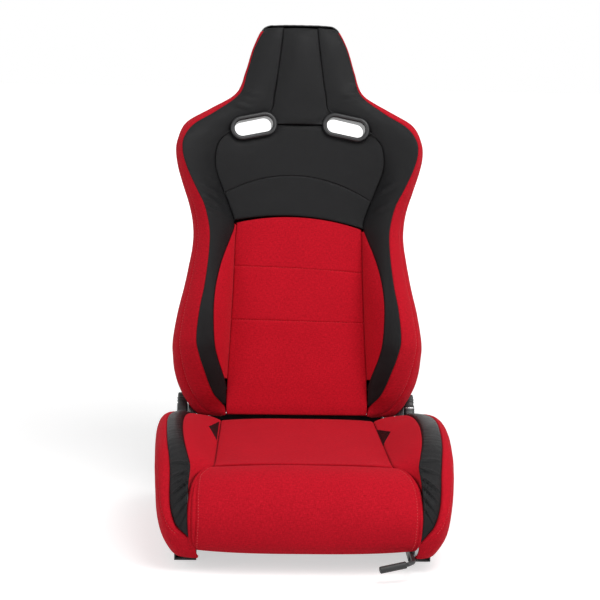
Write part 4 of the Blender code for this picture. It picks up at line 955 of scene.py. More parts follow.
def back_flank(side, name):
    return sew_pad(name, on_side(flank_front, side), on_side(rear_edge, side), 0.0, HEAD_CORNER - CORNER_GAP, 22,
                   BACK_TABLE, RED_CLOTH, crown=shifted_bulge(side), inner_crown=sided(flank_inner_bulge, side),
                   power=(2.4, 2.4), ends=(False, False), depth=2.6, relief=flank_relief,
                   stitches=(("share", FLANK_SEAM - 0.012),), stitched_rows=FLANK_STITCHED,
                   fine=about_seam(FLANK_SEAM))


def head_cap():
    """Leatherette that wraps over the head from one red corner to the other."""
    reach = TOP_STATION - HEAD_CORNER - CORNER_GAP

    def over(edge):
        return lambda v: edge(TOP_STATION - abs(v), 1 if v > 0 else -1)

    def crown(v):
        return shifted_bulge(1 if v > 0 else -1)(TOP_STATION - abs(v))

    def inner_crown(v):
        return across(flank_inner_bulge(TOP_STATION - abs(v)), 1 if v > 0 else -1)

    return sew_pad("head_cap", over(flank_front), over(rear_edge), -reach, reach, 14, BACK_TABLE, BLACK_VINYL,
                   crown=crown, inner_crown=inner_crown, power=(2.4, 2.4), ends=(False, False), depth=2.4,
                   step=3.0, relief=vinyl_relief, end_depth=(1.2, 3.0, 1.2, 3.0))


SIDE_FOLDS = {            # drag folds at the slots and the waist: start, end, width and height
    -1: [((-123, 650), (-86, 640), 2.8, 2.2), ((-137, 622), (-98, 611), 3.6, 2.0),
         ((-118, 633), (-92, 626), 2.6, 1.5), ((-194, 454), (-158, 436), 4.6, 2.6),
         ((-190, 432), (-156, 414), 5.0, 2.4), ((-186, 412), (-148, 398), 4.6, 2.0),
         ((-182, 470), (-160, 460), 4.0, 1.5)],
    1: [((96, 655), (124, 669), 2.8, 2.0), ((84, 640), (118, 648), 3.6, 2.2),
        ((90, 628), (116, 633), 3.0, 1.4), ((158, 446), (190, 463), 4.8, 2.1),
        ((152, 412), (182, 423), 5.4, 1.9)],
}


def bezel_press(points, side):
    """The bezels are drawn down hard, so the pads sink a little round them."""
    x, up, _ = SLOT_CENTRE
    turn = math.radians(-side * SLOT_ROLL)
    dx, dy = points[..., 0] - side * x, points[..., 1] - up
    along = dx * math.cos(turn) + dy * math.sin(turn)
    off = dy * math.cos(turn) - dx * math.sin(turn)
    reach = (BEZEL_SIZE[0] - BEZEL_SIZE[1]) / 2
    distance = np.hypot(np.maximum(np.abs(along) - reach, 0), off) - BEZEL_SIZE[1] / 2
    return -3.6 * np.exp(-np.maximum(distance, 0) / 9.0)


def pressed_relief(*sides):
    def relief(pad):
        return vinyl_relief(pad) + sum(bezel_press(pad.points, side) for side in sides)

    return relief


def side_panel(side, name):
    pressed = pressed_relief(side)

    def crown(t):
        width = (outer_seam(t)[0] - inner_seam_line(t)).length
        return across(Vector((-0.3, 0, 1.0)).normalized() * min(0.07 * width, 5.0), side)

    def relief(pad):
        return pressed(pad) + folds(pad, SIDE_FOLDS[side])

    return sew_pad(name, on_side(inner_seam, side), on_side(outer_seam, side), 0.0, SIDE_LAST, 16, BACK_TABLE,
                   BLACK_VINYL, crown=crown, relief=relief)


def inner_bolster(side, name):
    """Cloth slope from the insert up to the side panel; both ends run out to a point."""

    def low(t):
        return bolster_edge(slid(t, side) + 1, side)

    def high(t):
        return inner_seam(slid(t, side), side)

    def crown(t):
        reach = math.sin(math.pi * (t - BOLSTER_FIRST) / (BOLSTER_LAST - BOLSTER_FIRST))
        return across(Vector((-0.8, 0, 0.6)) * 6.0 * max(reach, 0.0), side)

    return sew_pad(name, low, high, BOLSTER_FIRST, BOLSTER_LAST, 12, BACK_TABLE, RED_CLOTH, crown=crown,
                   roll=3.4, depth=1.3, relief=cloth_relief)


def full_width(edge, warp):
    return on_side(edge, -1, warp), on_side(edge, 1, warp)


def insert_slid(t, side):
    return slid(t - 1, side) + 1 if t > 1 else t


def back_insert():
    low, high = full_width(insert_edge, insert_slid)
    channels = [row_where(insert_edge_line, 1, up, INSERT_LAST) for up in INSERT_CHANNELS]

    def bow(t):
        return Vector((0, INSERT_ARCH * max(0.0, (t - 8.0) / (INSERT_LAST - 8.0)) ** 1.5, 0))

    def crown(t):
        return Vector((0, 0, 5.0))

    return sew_pad("back_insert", low, high, 0.0, INSERT_LAST, 44, BACK_TABLE, RED_CLOTH, crown=crown,
                   power=(4.0, 4.0), bow=bow, creases=channels, roll=3.6, depth=1.5, relief=cloth_relief,
                   cross_stitches=channels)


def chest_pad():
    low, high = full_width(inner_seam, slid)

    def arch(t):
        up = inner_seam_line(t).y
        if up < CHEST_CHANNEL:
            rise = INSERT_ARCH + (CHEST_ARCH - INSERT_ARCH) * (up - CHEST_FOOT) / (CHEST_CHANNEL - CHEST_FOOT)
        else:
            rise = CHEST_ARCH * (1 - (up - CHEST_CHANNEL) / (NECK_HEIGHT - CHEST_CHANNEL)) ** 1.2
        return Vector((0, max(rise, 0.0), 0))

    def hollow(t):
        return Vector((0, 0, 59.0 - inner_seam_line(t).z))

    return sew_pad("chest_pad", low, high, CHEST_FIRST, NECK_ROW - 0.01, 46, BACK_TABLE, BLACK_VINYL,
                   crown=hollow, inner_crown=hollow, bow=arch, creases=[CHEST_ROW], roll=4.0, depth=2.0,
                   relief=pressed_relief(-1, 1), end_depth=(2.4, 5.0, 4.6, 17.0), cross_stitches=[CHEST_ROW])


def head_pad():
    low, high = full_width(inner_seam, None)
    bottom = NECK_ROW + 0.01

    def swell(t):
        part = held((t - bottom) / (SIDE_LAST - bottom))
        return Vector((0, 0, 1.0 + 7.0 * math.sin(math.pi * part) ** 0.7))

    def over_top(t):
        return Vector((0, 1.0 * max(0.0, t - SIDE_LAST + 1), 0))

    return sew_pad("head_pad", low, high, bottom, SIDE_LAST - 0.07, 26, BACK_TABLE, BLACK_VINYL, crown=swell,
                   bow=over_top, roll=4.0, depth=1.9, relief=pressed_relief(-1, 1),
                   end_depth=(4.6, 20.0, 2.4, 5.0))


COVER_FIRST, COVER_LAST = 1.0, 23.85     # stations of the back cover's hem and top
COVER_SEAM = 20.0         # station of the seam across the back cover, at the neck
HOOP_INSET = 26.0         # how far in from the cover's edge the hoop shows


def cover_relief(pad):
    """Leatherette drawn flat over the frame, with the hoop showing faintly through."""
    return vinyl_relief(pad) + 0.9 * np.exp(-((pad.side - HOOP_INSET) / 11.0) ** 2)


def back_cover():
    def dome(t):
        return Vector((0, 0, -min(10.0, 0.06 * rear_edge_line(t).x)))

    low, high = full_width(rear_edge, None)
    return sew_pad("back_cover", low, high, COVER_FIRST, COVER_LAST, 40, BACK_TABLE, BLACK_VINYL, crown=dome,
                   inner_crown=dome, power=(2.5, 2.5), ends=(True, False), step=6.0, relief=cover_relief,
                   creases=[COVER_SEAM], cross_stitches=[COVER_SEAM], stitches=(("low", 7.0), ("high", 7.0)))


# ---- base pads ----
def thigh_flank_bulge(t):
    return thigh_widest_line(t) - (thigh_outer_line(t) + thigh_hem_line(t)) / 2


def thigh_flank_inner_bulge(t):
    (top, top_in), (hem, hem_in) = thigh_outer(t), thigh_hem(t)
    near_tip = held((t - 7) / 3)
    wall = Vector((-14.0 + 7.0 * near_tip, 8.0 * near_tip, 0))
    return (thigh_widest_line(t) + wall) - (top + top_in + hem + hem_in) / 2


THIGH_LAST = len(THIGH_INNER) - 1
THIGH_SEAM = 0.2          # the same on the base, as a share of the way down
THIGH_STITCHED = (0.4, 10.6)             # stations
thigh_flank_relief = topstitched(THIGH_SEAM, 1.2, 1.2, 0.6, 60.0, 0.5)


def thigh_flank(side, name):
    return sew_pad(name, on_side(thigh_outer, side), on_side(thigh_hem, side), 0, THIGH_LAST, 26, BASE_TABLE,
                   RED_CLOTH, crown=sided(thigh_flank_bulge, side), inner_crown=sided(thigh_flank_inner_bulge, side),
                   power=(4.0, 2.6), ends=(False, False), depth=2.8, relief=thigh_flank_relief,
                   stitches=(("share", THIGH_SEAM - 0.01),), stitched_rows=THIGH_STITCHED,
                   fine=about_seam(THIGH_SEAM))


STRIP_FOLDS = {           # folds fanning over the thigh strips: station, slant, width and height
    -1: [(8.0, 14.0, 2.0, 3.0), (7.4, -6.0, 2.4, 2.6), (8.5, 22.0, 1.9, 2.6), (6.8, -16.0, 2.8, 1.9),
         (9.0, 30.0, 2.1, 2.2), (7.7, 4.0, 1.6, 1.7), (9.5, 34.0, 2.0, 1.5)],
    1: [(7.7, 12.0, 2.2, 2.9), (8.2, 20.0, 2.0, 2.7), (7.1, -4.0, 2.7, 2.2), (8.7, 28.0, 1.9, 2.4),
        (6.4, -14.0, 3.0, 1.7), (7.95, 16.0, 1.5, 1.4), (9.2, 32.0, 2.1, 1.8)],
}


def thigh_strip(side, name):
    low, high = on_side(thigh_inner, side), on_side(thigh_outer, side)

    def crown(t):
        return across(-towards_hub(thigh_inner_line(t), 1.0) * 3.0 * strip_lean(t), side)

    def relief(pad):
        """The leatherette is pulled round the front, so folds fan out from the roll's corner."""
        height = vinyl_relief(pad)
        run = pad.run[:, None]
        for station, slant, width, rise in STRIP_FOLDS[side]:
            centre = float(np.interp(station, pad.rows, pad.run))
            off = run - centre - slant * (pad.share - 0.1)
            reach = np.clip(1.25 - pad.share, 0, 1)
            hollow = np.exp(-((off - 1.5 * width) / (0.7 * width)) ** 2) * reach
            height = height + 1.2 * rise * np.exp(-(off / width) ** 2) * reach - 0.9 * rise * hollow
            # painted shade in each fold's hollow
            pad.shade = np.maximum(pad.shade, 0.7 * hollow)
        return height

    return sew_pad(name, low, high, 0, THIGH_LAST, 20, BASE_TABLE, BLACK_VINYL, crown=crown, step=2.4, relief=relief)


SLOPE_LAST = 7.95         # just short of the roll's corner


def slope_crown(t):
    return Vector((-0.6, 0, 0.8)) * 5.0 * max(0.0, 1 - t / 7)


def thigh_slope(side, name):
    low, high = on_side(well_edge, side), on_side(thigh_inner, side)
    return sew_pad(name, low, high, 0, SLOPE_LAST, 16, BASE_TABLE, RED_CLOTH, crown=sided(slope_crown, side),
                   depth=2.0, relief=cloth_relief)


def seat_insert():
    low, high = full_width(seat_edge, None)

    def crown(t):
        return Vector((0, 0, 1.0 + 3.5 * min(t, 2.0) / 2))

    return sew_pad("seat_insert", low, high, 0, len(SEAT_EDGE) - 1, 44, BASE_TABLE, RED_CLOTH, crown=crown,
                   power=(4.0, 4.0), depth=2.0, relief=cloth_relief)


LIP, LIP_BOW = 7.0, 9.0


def lens(t):
    """How far the roll's second left seam stands from its first, row by row."""
    return LIP_BOW * math.sin(math.pi * held((t - 2.3) / 4.2)) ** 0.8


def front_roll():
    low, high = full_width(roll_edge, None)

    def crown(t):
        centre, edge = roll_centre_line(t), roll_edge_line(t)
        return Vector((0, centre.y - edge.y, centre.z - edge.z))

    def relief(pad):
        """A lip stands along each side; on the left a second seam bows away from the first."""
        bow = np.array([lens(t) for t in pad.rows])[:, None]
        from_left, from_right = pad.steps, pad.width - pad.steps
        height = cloth_relief(pad) * np.clip((pad.side - 9.0) / 14.0, 0.15, 1)
        first = np.exp(-((from_left - LIP) / 1.5) ** 2)
        second = np.exp(-((from_left - LIP - bow) / 1.6) ** 2) * np.clip(bow / 3.0, 0, 1)
        right = np.exp(-((from_right - LIP) / 1.6) ** 2)
        lip = np.exp(-((from_left - LIP - bow / 2) / (1.0 + bow / 2.6)) ** 2) * np.clip(bow / 4.0, 0, 1)
        # painted shade in the grooves beside the lips
        pad.shade = 0.75 * np.maximum(np.maximum(first, second), 0.6 * right)
        return height - 2.6 * first - 2.4 * second - 2.0 * right + 1.8 * lip

    def columns(width):
        return [5.0 + 1.15 * k for k in range(22)] + [width - 5.0 - 1.3 * k for k in range(12)]

    return sew_pad("front_roll", low, high, 0, len(ROLL_EDGE) - 1, 60, BASE_TABLE, RED_CLOTH, crown=crown,
                   power=(3.0, 3.0), depth=3.4, relief=relief, fine=columns, stitched_rows=(1.4, 6.8),
                   stitches=(("low", lambda t: LIP + lens(t) + 4.5), ("high", LIP + 4.5)))


# ---- slots ----
def arc(x, radius, start, end, count):
    angles = [math.radians(start + (end - start) * k / count) for k in range(count + 1)]
    return [(x + radius * math.cos(angle), radius * math.sin(angle)) for angle in angles]


def stadium(length, height, count=16):
    radius, run = height / 2, (length - height) / 2
    return arc(run, radius, -90, 90, count) + arc(-run, radius, 90, 270, count)


def slot_axes(side):
    x, up, forward = SLOT_CENTRE
    local = Vector((side * x, PIVOT_FORWARD - forward, up - PIVOT_UP)) * MM
    return (BACK_AXES @ Matrix.Translation(local) @ Matrix.Rotation(math.radians(90), 4, "X")
            @ Matrix.Rotation(math.radians(-side * SLOT_ROLL), 4, "Z"))


def risen(outline, depth):
    """The sleeve's outline at a depth, where it has climbed towards the rear."""
    climb = SLEEVE_RISE * (SLEEVE_START - depth) / (SLEEVE_LENGTH + SLEEVE_START)
    return [(x, y + climb) for x, y in outline]


def loft(name, loops, closed):
    """Join matching loops of points, in metres, into a ring or a capped body."""
    bm = bmesh.new()
    rings = [[bm.verts.new(point) for point in loop] for loop in loops]
    pairs = list(zip(rings, rings[1:]))
    if closed:
        pairs.append((rings[-1], rings[0]))
    else:
        bm.faces.new(rings[0])
        bm.faces.new(rings[-1])
    for a, b in pairs:
        for k in range(len(a)):
            n = (k + 1) % len(a)
            bm.faces.new((a[k], a[n], b[n], b[k]))
    bmesh.ops.recalc_face_normals(bm, faces=bm.faces)
    mesh = bpy.data.meshes.new(name)
    bm.to_mesh(mesh)
    bm.free()
    return mesh


def skin(name, rings, closed):
    """Join matching outlines, each (outline, depth, slope along it), into a ring or a capped sleeve."""
    loops = [[Vector((x, y, depth + slope * x)) * MM for x, y in outline] for outline, depth, slope in rings]
    return loft(name, loops, closed)


def slot_hole(side):
    """Space for a bezel: its ring in the face and its sleeve behind."""
    wide, tall = BEZEL_SIZE
    length, height = SLOT_SIZE
    lean = side * math.tan(math.radians(SLOT_TURN))
    pocket = stadium(wide - 3.0, tall - 3.0)
    room = 2 * LINER_WALL + 0.8
    sleeve = stadium(length + room, height + room)
    floor, far_end = SLEEVE_START - 0.4, -HOLE_DEPTH
    mesh = skin("slot_hole", [(pocket, HOLE_RISE, lean), (pocket, floor, lean), (sleeve, floor, lean),
                              (risen(sleeve, far_end), far_end, 0)], False)
    mesh.transform(slot_axes(side))
    return linked("slot_hole", mesh)


def cut_slots(pads):
    holes = [slot_hole(-1), slot_hole(1)]
    for pad, sides in pads:
        for side in sides:
            tool = pad.modifiers.new("slot", "BOOLEAN")
            tool.solver = "EXACT"
            tool.use_self = True
            tool.object = holes[side > 0]
        settle(pad)
    for hole in holes:
        bpy.data.objects.remove(hole, do_unlink=True)


def front_bezel(side, name):
    """Moulded ring with a full round band on the face, a step inside it and the sleeve through the back."""
    length, height = SLOT_SIZE
    wide, tall = BEZEL_SIZE
    lean = side * math.tan(math.radians(SLOT_TURN))
    band = (wide - length) / 2
    inside, sleeve = stadium(length, height), stadium(length + 2 * LINER_WALL, height + 2 * LINER_WALL)
    rings = [(risen(inside, -SLEEVE_LENGTH), -SLEEVE_LENGTH, 0), (inside, 1.0, lean)]
    for k in range(9):
        angle = math.pi * (1 - k / 8)
        grow = band * (1 + math.cos(angle))
        rings.append((stadium(length + grow, height + grow), 2.6 + 5.6 * math.sin(angle) ** 0.8, lean))
    rings += [(stadium(wide, tall), SLEEVE_START, lean), (sleeve, SLEEVE_START, lean),
              (risen(sleeve, -SLEEVE_LENGTH), -SLEEVE_LENGTH, 0)]
    mesh = skin(name, rings, True)
    mesh.transform(slot_axes(side))
    return finished("moulded_" + name, mesh, BLACK_PLASTIC, 45.0)


# ---- recliner ----
LEVER_X, COLLAR_X = (216.0, 238.0), (205.0, 218.0)
COLLAR_RADIUS, COLLAR_BORE = 16.0, 5.5
LEVER_HUB, LEVER_TIP, LEVER_REACH, LEVER_LEAN = 19.0, 8.0, 58.0, 20.0
LEVER_STEP, LEVER_BEAD = 40.0, 48.0
COVER_X = (199.6, 215.4)
COVER_HUB, COVER_TIP, COVER_BORE = 22.0, 8.0, 16.9
COVER_REACH, COVER_FLARE = 17.0, 1.28      # up to the tip's middle at the flank, and more for each step outwards
ON_PIVOT = BACK_AXES @ Matrix(((0, 0, 1, 0), (1, 0, 0, 0), (0, 1, 0, 0), (0, 0, 0, 1)))


def lever_half_width(s):
    """Half the lever's width where it has run s from its axis: hub, straight taper, round tip."""
    tilt = (LEVER_HUB - LEVER_TIP) / LEVER_REACH
    cosine = math.sqrt(1 - tilt * tilt)
    start, end = LEVER_HUB * tilt, LEVER_REACH + LEVER_TIP * tilt
    if s < start:
        return math.sqrt(max(LEVER_HUB ** 2 - s * s, 0.0))
    if s > end:
        return math.sqrt(max(LEVER_TIP ** 2 - (s - LEVER_REACH) ** 2, 0.0))
    return cosine * (LEVER_HUB + (LEVER_TIP - LEVER_HUB) * (s - start) / (end - start))


def lever_section(s, half_thick, grow=0.0):
    """A rounded oblong across the lever, as points (off its middle line, off its middle plane)."""
    wide = max(lever_half_width(s) + grow, 0.2)
    points = []
    for c, d in ring(1.0, 32):
        points.append((wide * math.copysign(abs(c) ** 0.42, c),
                       (half_thick + grow) * math.copysign(abs(d) ** 0.42, d)))
    return points


def lever_body(side, stations):
    """Closed skin through sections across the lever, each (run, half thickness, grow)."""
    lean = math.radians(90 - LEVER_LEAN)
    run_way = Vector((0, math.cos(lean), math.sin(lean)))
    off_way = Vector((0, -math.sin(lean), math.cos(lean)))
    middle = side * sum(LEVER_X) / 2
    mesh = loft("lever", [[(run_way * s + off_way * a + Vector((middle + b, 0, 0))) * MM
                           for a, b in lever_section(s, half_thick, grow)]
                          for s, half_thick, grow in stations], False)
    mesh.transform(BACK_AXES)
    return mesh


def recliner_lever(side, name):
    """Moulded lever: a thicker boot, a stepped cap above it with raised beads, and the collar on its rod."""
    half = (LEVER_X[1] - LEVER_X[0]) / 2
    stations = [(-18.9, half - 3.0, 0), (-18.0, half - 1.4, 0), (-15.5, half - 0.3, 0)]
    stations += [(s, half, 0) for s in (-10, 0, 8, 16, 24, 30)]
    for groove in (20.0, 26.0):
        stations += [(groove + off, half, cut) for off, cut in ((-0.9, 0), (-0.5, -0.5), (0.5, -0.5), (0.9, 0))]
    stations += [(LEVER_STEP - 0.9, half, 0), (LEVER_STEP - 0.1, half, -0.3), (LEVER_STEP, half, -1.3)]
    for bead in (LEVER_BEAD, LEVER_BEAD + 5.5):
        stations += [(bead + off, half, cut)
                     for off, cut in ((-1.1, -1.3), (-0.6, -0.6), (0, -0.3), (0.6, -0.6), (1.1, -1.3))]
    stations += [(60, half, -1.2), (63, half - 0.8, -1.0), (65, half - 2.0, -0.6), (65.9, half - 3.6, -0.2)]
    stations = sorted(set(stations))
    obj = finished("moulded_" + name, lever_body(side, stations), BLACK_PLASTIC, 50.0)
    collar = skin("collar", [(ring(radius), side * x, 0) for radius, x in (
        (COLLAR_RADIUS, COLLAR_X[0]), (COLLAR_RADIUS, COLLAR_X[1]), (COLLAR_BORE, COLLAR_X[1]),
        (COLLAR_BORE, COLLAR_X[0]))], True)
    collar.transform(ON_PIVOT)
    outwards(obj.data, collar)
    obj.data.shade_smooth()
    obj.data.set_sharp_from_angle(angle=math.radians(42))
    return obj


def ring(radius, count=40):
    return [(radius * math.cos(math.tau * k / count), radius * math.sin(math.tau * k / count)) for k in range(count)]


def lever_trim(side, name):
    """A slim plated band round the right lever's boot."""
    half = (LEVER_X[1] - LEVER_X[0]) / 2
    stations = [(32.2, half, 0.05), (32.3, half, 0.5), (33.8, half, 0.5), (33.9, half, 0.05)]
    return finished("plated_" + name, lever_body(side, stations), ZINC, 40.0)


def cover_outline(reach, shrink):
    """Hub and tip circles wrapped by one line, as points at forty angles about the axis."""
    out = []
    for k in range(40):
        angle = math.tau * k / 40
        off, lift = reach * math.cos(angle), max(math.sin(angle), 0.0)
        distance = COVER_HUB + (reach + COVER_TIP - COVER_HUB) * lift ** 9
        if abs(off) < COVER_TIP and lift > 0:
            distance = max(distance, reach * lift + math.sqrt(COVER_TIP ** 2 - off * off))
        distance = max(distance, COVER_HUB) - shrink
        out.append((distance * math.cos(angle), distance * math.sin(angle)))
    return out


def recliner_cover(side, name):
    """Moulded boot round the recliner's axis, inside the lever, that fills the corner under the flank."""
    low, high = COVER_X
    rings = []
    for part, shrink in ((0.0, 1.4), (0.06, 0.3), (0.14, 0.0), (0.4, 0.0), (0.44, 0.7), (0.5, 0.7), (0.54, 0.0),
                         (0.86, 0.0), (0.94, 0.3), (1.0, 1.4)):
        x = low + (high - low) * part
        rings.append((cover_outline(COVER_REACH + (x - low) * COVER_FLARE, shrink), side * x, 0))
    rings += [(ring(COVER_BORE), side * high, 0), (ring(COVER_BORE), side * low, 0)]
    mesh = skin(name, rings, True)
    mesh.transform(ON_PIVOT)
    return finished("moulded_" + name, mesh, BLACK_PLASTIC, 45.0)


SKIRT_HEM = [(172, 6.4), (158, 6.4), (140, 6.4), (105, 6.4), (70, 6.4), (35, 6.4), (0, 6.4)]
SKIRT_FOOT = [(172, -5), (169, -8), (165, -10), (154, -14), (110, -14), (60, -14), (0, -14)]
SKIRT_ROWS, SKIRT_COLUMNS = 9, 97


def whole_edge(half, axis):
    """One coordinate along an edge that is drawn from its right end to the middle, read from its left end."""
    values = [point[axis] for point in half]
    left = [-value for value in values] if axis == 0 else values
    stations = np.linspace(0, 2 * len(half) - 2, SKIRT_COLUMNS)
    return np.interp(stations, range(2 * len(half) - 1), left + values[-2::-1])


def back_skirt():
    """Vinyl flap hemmed to the back cover; it stays between the side frames when the back reclines."""
    grid = np.zeros((SKIRT_ROWS, SKIRT_COLUMNS, 3))
    drop = np.linspace(1, 0, SKIRT_ROWS)[:, None]
    for axis in (0, 1):
        high, low = whole_edge(SKIRT_HEM, axis), whole_edge(SKIRT_FOOT, axis)
        grid[..., axis] = high + (low - high) * drop
    wide = grid[..., 0]
    grid[..., 2] = -0.7 - 0.9 * drop * np.sin(wide / 13.0) - 0.4 * drop * np.sin(wide / 5.1 + 1.0)
    front, back = grid.copy(), grid.copy()
    front[..., 2] += 1.0
    back[..., 2] -= 1.0
    front[0, :, 2] -= 0.5
    back[0, :, 2] += 0.5
    keep_run(back[1], np.tile((0.0, 0.0, -1.0), (SKIRT_COLUMNS, 1)), BACK_TABLE, BLACK_VINYL)
    return closed_pad("back_skirt", placed(back, BACK_TABLE), placed(front, BACK_TABLE),
                      np.repeat(wide[:1], SKIRT_ROWS, 0), np.linspace(0, 20, SKIRT_ROWS),
                      np.zeros((SKIRT_ROWS, SKIRT_COLUMNS)), BLACK_VINYL)


# ---- gussets ----
GUSSET_STEPS, LOWEST_CLOTH, SEAT_TOP = 22, 0.155, 0.172     # heights in metres
GUSSETS = {"left": [(-174, 50), (-153, 130), (-157.5, -6)], "right": [(149.8, 94), (174, 26), (154.5, -20)]}


def gusset(corners, pads, name):
    """A triangle of leatherette let in between the seat and the bolster, lying on the cloth's surface."""
    trees = []
    for pad in pads:
        bm = bmesh.new()
        bm.from_mesh(pad.data)
        trees.append(BVHTree.FromBMesh(bm))
        bm.free()
    count = GUSSET_STEPS
    a, b, c = (np.array(p, float) for p in corners)
    index, points, rims = {}, [], []
    for i in range(count + 1):
        for j in range(count + 1 - i):
            spot = a + (b - a) * i / count + (c - a) * j / count
            at = Vector((spot[0], spot[1] + ORIGIN_Y, 300.0)) * MM
            hits = [t.ray_cast(at, Vector((0, 0, -1)))[0] for t in trees]
            hits = [hit for hit in hits if hit and hit.z > LOWEST_CLOTH]
            hits = hits or [t.find_nearest(Vector((at.x, at.y, SEAT_TOP)))[0] for t in trees]
            height = max(hit.z for hit in hits)
            index[i, j] = len(points)
            points.append((at.x, at.y, height))
            rims.append(min(i, j, count - i - j) / count * 3)
    high = [(x, y, z + (1.3 * (1 - (1 - min(r * 7, 1)) ** 2) - 0.5) * MM) for (x, y, z), r in zip(points, rims)]
    low = [(x, y, z - 2.5 * MM) for x, y, z in points]
    faces, total = [], len(points)
    for i in range(count):
        for j in range(count - i):
            faces.append((index[i, j], index[i + 1, j], index[i, j + 1]))
            if i + j < count - 1:
                faces.append((index[i + 1, j], index[i + 1, j + 1], index[i, j + 1]))
    under = [tuple(k + total for k in reversed(face)) for face in faces]
    border = ([index[i, 0] for i in range(count + 1)] + [index[count - j, j] for j in range(1, count + 1)]
              + [index[0, count - j] for j in range(1, count)])
    walls = [(border[k], border[(k + 1) % len(border)], border[(k + 1) % len(border)] + total, border[k] + total)
             for k in range(len(border))]
    mesh = bpy.data.meshes.new(name)
    mesh.from_pydata(high + low, [], faces + under + walls)
    outwards(mesh)
    return finished("sewn_" + name, mesh, BLACK_VINYL, 60.0)


# ---- assembly ----
def build_recliner():
    for side, word in SIDES:
        dress(recliner_lever(side, "recliner_lever_" + word), "recliner_release", "black_plastic",
              "recliner_lever_" + word)
        dress(recliner_cover(side, "recliner_cover_" + word), "backrest", "black_plastic")
    dress(lever_trim(1, "lever_trim"), "recliner_release", "zinc_steel")


def build_backrest():
    insert, chest, head, cover = back_insert(), chest_pad(), head_pad(), back_cover()
    panels = {side: side_panel(side, "side_panel_" + word) for side, word in SIDES}
    cut_slots([(chest, (-1, 1)), (head, (-1, 1)), (cover, (-1, 1)), (panels[-1], (-1,)), (panels[1], (1,))])
    upholster(insert, "backrest", "red_cloth", 0.85, "back_insert")
    upholster(chest, "backrest", "black_vinyl", 0.85, "chest_pad")
    upholster(head, "backrest", "black_vinyl", 0.9, "head_pad")
    upholster(cover, "backrest", "black_vinyl", 0.8, "back_cover")
    upholster(head_cap(), "backrest", "black_vinyl", 0.9, "head_cap")
    dress(back_skirt(), "backrest", "black_vinyl", "back_skirt")
    for side, word in SIDES:
        upholster(panels[side], "backrest", "black_vinyl", 0.85, "side_panel_" + word)
        flank = back_flank(side, "back_flank_" + word)
        upholster(flank, "backrest", "red_cloth", 0.9, "back_flank_" + word)
        bolster = inner_bolster(side, "inner_bolster_" + word)
        upholster(bolster, "backrest", "red_cloth", 0.9, "inner_bolster_" + word)
        dress(front_bezel(side, "front_bezel_" + word), "backrest", "black_plastic", "front_bezel_" + word)


def build_base():
    seat, roll = seat_insert(), front_roll()
    upholster(seat, "seat_base", "red_cloth", 0.8, "seat_insert")
    upholster(roll, "seat_base", "red_cloth", 0.9, "front_roll")
    for side, word in SIDES:
        upholster(thigh_flank(side, "thigh_flank_" + word), "seat_base", "red_cloth", 0.9, "thigh_flank_" + word)
        strip = thigh_strip(side, "thigh_strip_" + word)
        upholster(strip, "seat_base", "black_vinyl", 0.85, "thigh_strip_" + word)
        slope = thigh_slope(side, "thigh_slope_" + word)
        upholster(slope, "seat_base", "red_cloth", 0.85, "thigh_slope_" + word)
        dress(gusset(GUSSETS[word], (seat, slope), "gusset_" + word), "seat_base", "black_vinyl")


NODE_FINISH = [
    (("upper_rail", "rail_bolt", "release_rod"), ZINC),
    (("lower_rail", "side_frame", "front_cross_tube", "rear_cross_tube", "recliner_boss", "recliner_arm", "back_hoop",
      "back_lower_tube", "rod_bearing", "latch_dog", "slider_rod"), BLACK_STEEL),
    (("rear_bezel",), BLACK_PLASTIC),
    (("seat_strap", "back_strap"), WEBBING),
    (("slider_grip",), RUBBER),
]


def finish_nodes():
    for name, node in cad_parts.items():
        for starts, finish in NODE_FINISH:
            if name.startswith(starts):
                for entry in node.material_slots:
                    entry.material = finish


# ---- studio ----
def lamp(name, size, power, place, aim):
    data = bpy.data.lights.new(name, "AREA")
    data.shape = "RECTANGLE"
    data.size, data.size_y = size
    data.energy = power
    obj = linked(name, data)
    obj.location = place
    obj.rotation_euler = (Vector(aim) - Vector(place)).to_track_quat("-Z", "Y").to_euler()


CAMERA_DISTANCE, CAMERA_HEIGHT, CAMERA_SHIFT = 3.5596, 1.155, -0.004
CAMERA_DOWN, CAMERA_LEFT, CAMERA_ROLL = 11.5, 2.5, 1.25   # degrees


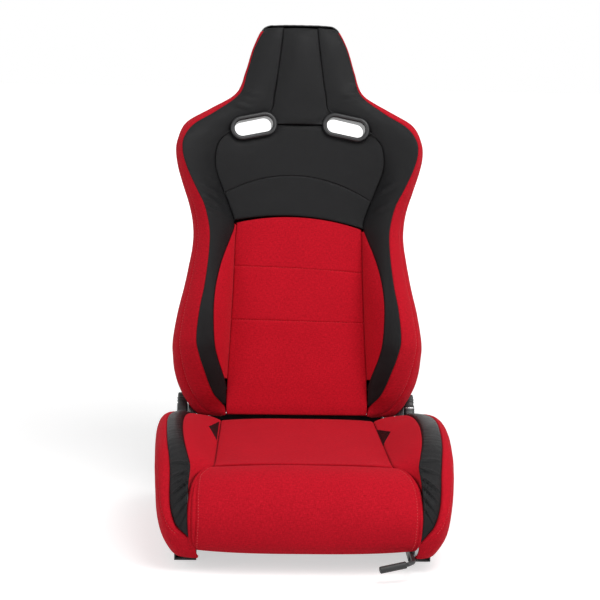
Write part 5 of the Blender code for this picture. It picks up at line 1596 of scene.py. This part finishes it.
def seen_rays(w):
    """1 for the rays that show a backdrop: from the camera, in a reflection or through glass."""
    path = w.add("LightPath", ())
    mirrored_rays = w.math("MAXIMUM", path["Is Glossy Ray"], path["Is Transmission Ray"])
    return w.math("MAXIMUM", path["Is Camera Ray"], mirrored_rays)


def build_studio():
    scene = bpy.context.scene
    scene.view_settings.view_transform = "Standard"
    world = bpy.data.worlds.new("studio")
    scene.world = world
    world.use_nodes = True
    w = Wiring(world.node_tree)
    w.set(world.node_tree.nodes["Background"],
          {"Color": (1, 1, 1, 1), "Strength": w.math("MULTIPLY_ADD", seen_rays(w), 0.64, 0.36)})
    floor = bpy.data.meshes.new("floor")
    reach = 9.0
    floor.from_pydata([(-reach, -reach, 0), (reach, -reach, 0), (reach, reach, 0), (-reach, reach, 0)], [],
                      [(0, 1, 2, 3)])
    made, w, shader, where = new_finish("studio_floor")
    away = w.ramp(w.vector("LENGTH", where.outputs["Object"]), 0.7, 3.0, 0.56, 1.0)
    w.set(shader, {"Base Color": (0.7, 0.7, 0.7, 1), "Roughness": 0.9, "Specular IOR Level": 0.1,
                   "Emission Color": (1, 1, 1, 1), "Emission Strength": w.math("MULTIPLY", seen_rays(w), away)})
    floor.materials.append(made)
    linked("floor", floor)
    lamp("overhead", (2.0, 1.4), 50.0, (0.9, -1.1, 2.9), (0, 0, 0.5))
    lamp("right_softbox", (1.2, 2.2), 26.0, (2.3, -1.9, 1.5), (0, 0, 0.5))
    lamp("left_softbox", (1.2, 2.2), 21.0, (-2.4, -1.6, 1.4), (0, 0, 0.5))
    eye = bpy.data.cameras.new("eye")
    eye.lens, eye.sensor_width = 115.2, 36.0
    camera = linked("eye", eye)
    camera.matrix_world = (Matrix.Rotation(math.radians(-CAMERA_LEFT), 4, "Z")
                           @ Matrix.Translation((CAMERA_SHIFT, -CAMERA_DISTANCE, CAMERA_HEIGHT))
                           @ Matrix.Rotation(math.radians(90 - CAMERA_DOWN), 4, "X")
                           @ Matrix.Rotation(math.radians(CAMERA_ROLL), 4, "Z"))
    scene.camera = camera


SIDES = ((-1, "left"), (1, "right"))
build_studio()
build_backrest()
build_base()
build_recliner()
sew_stitches()
finish_nodes()
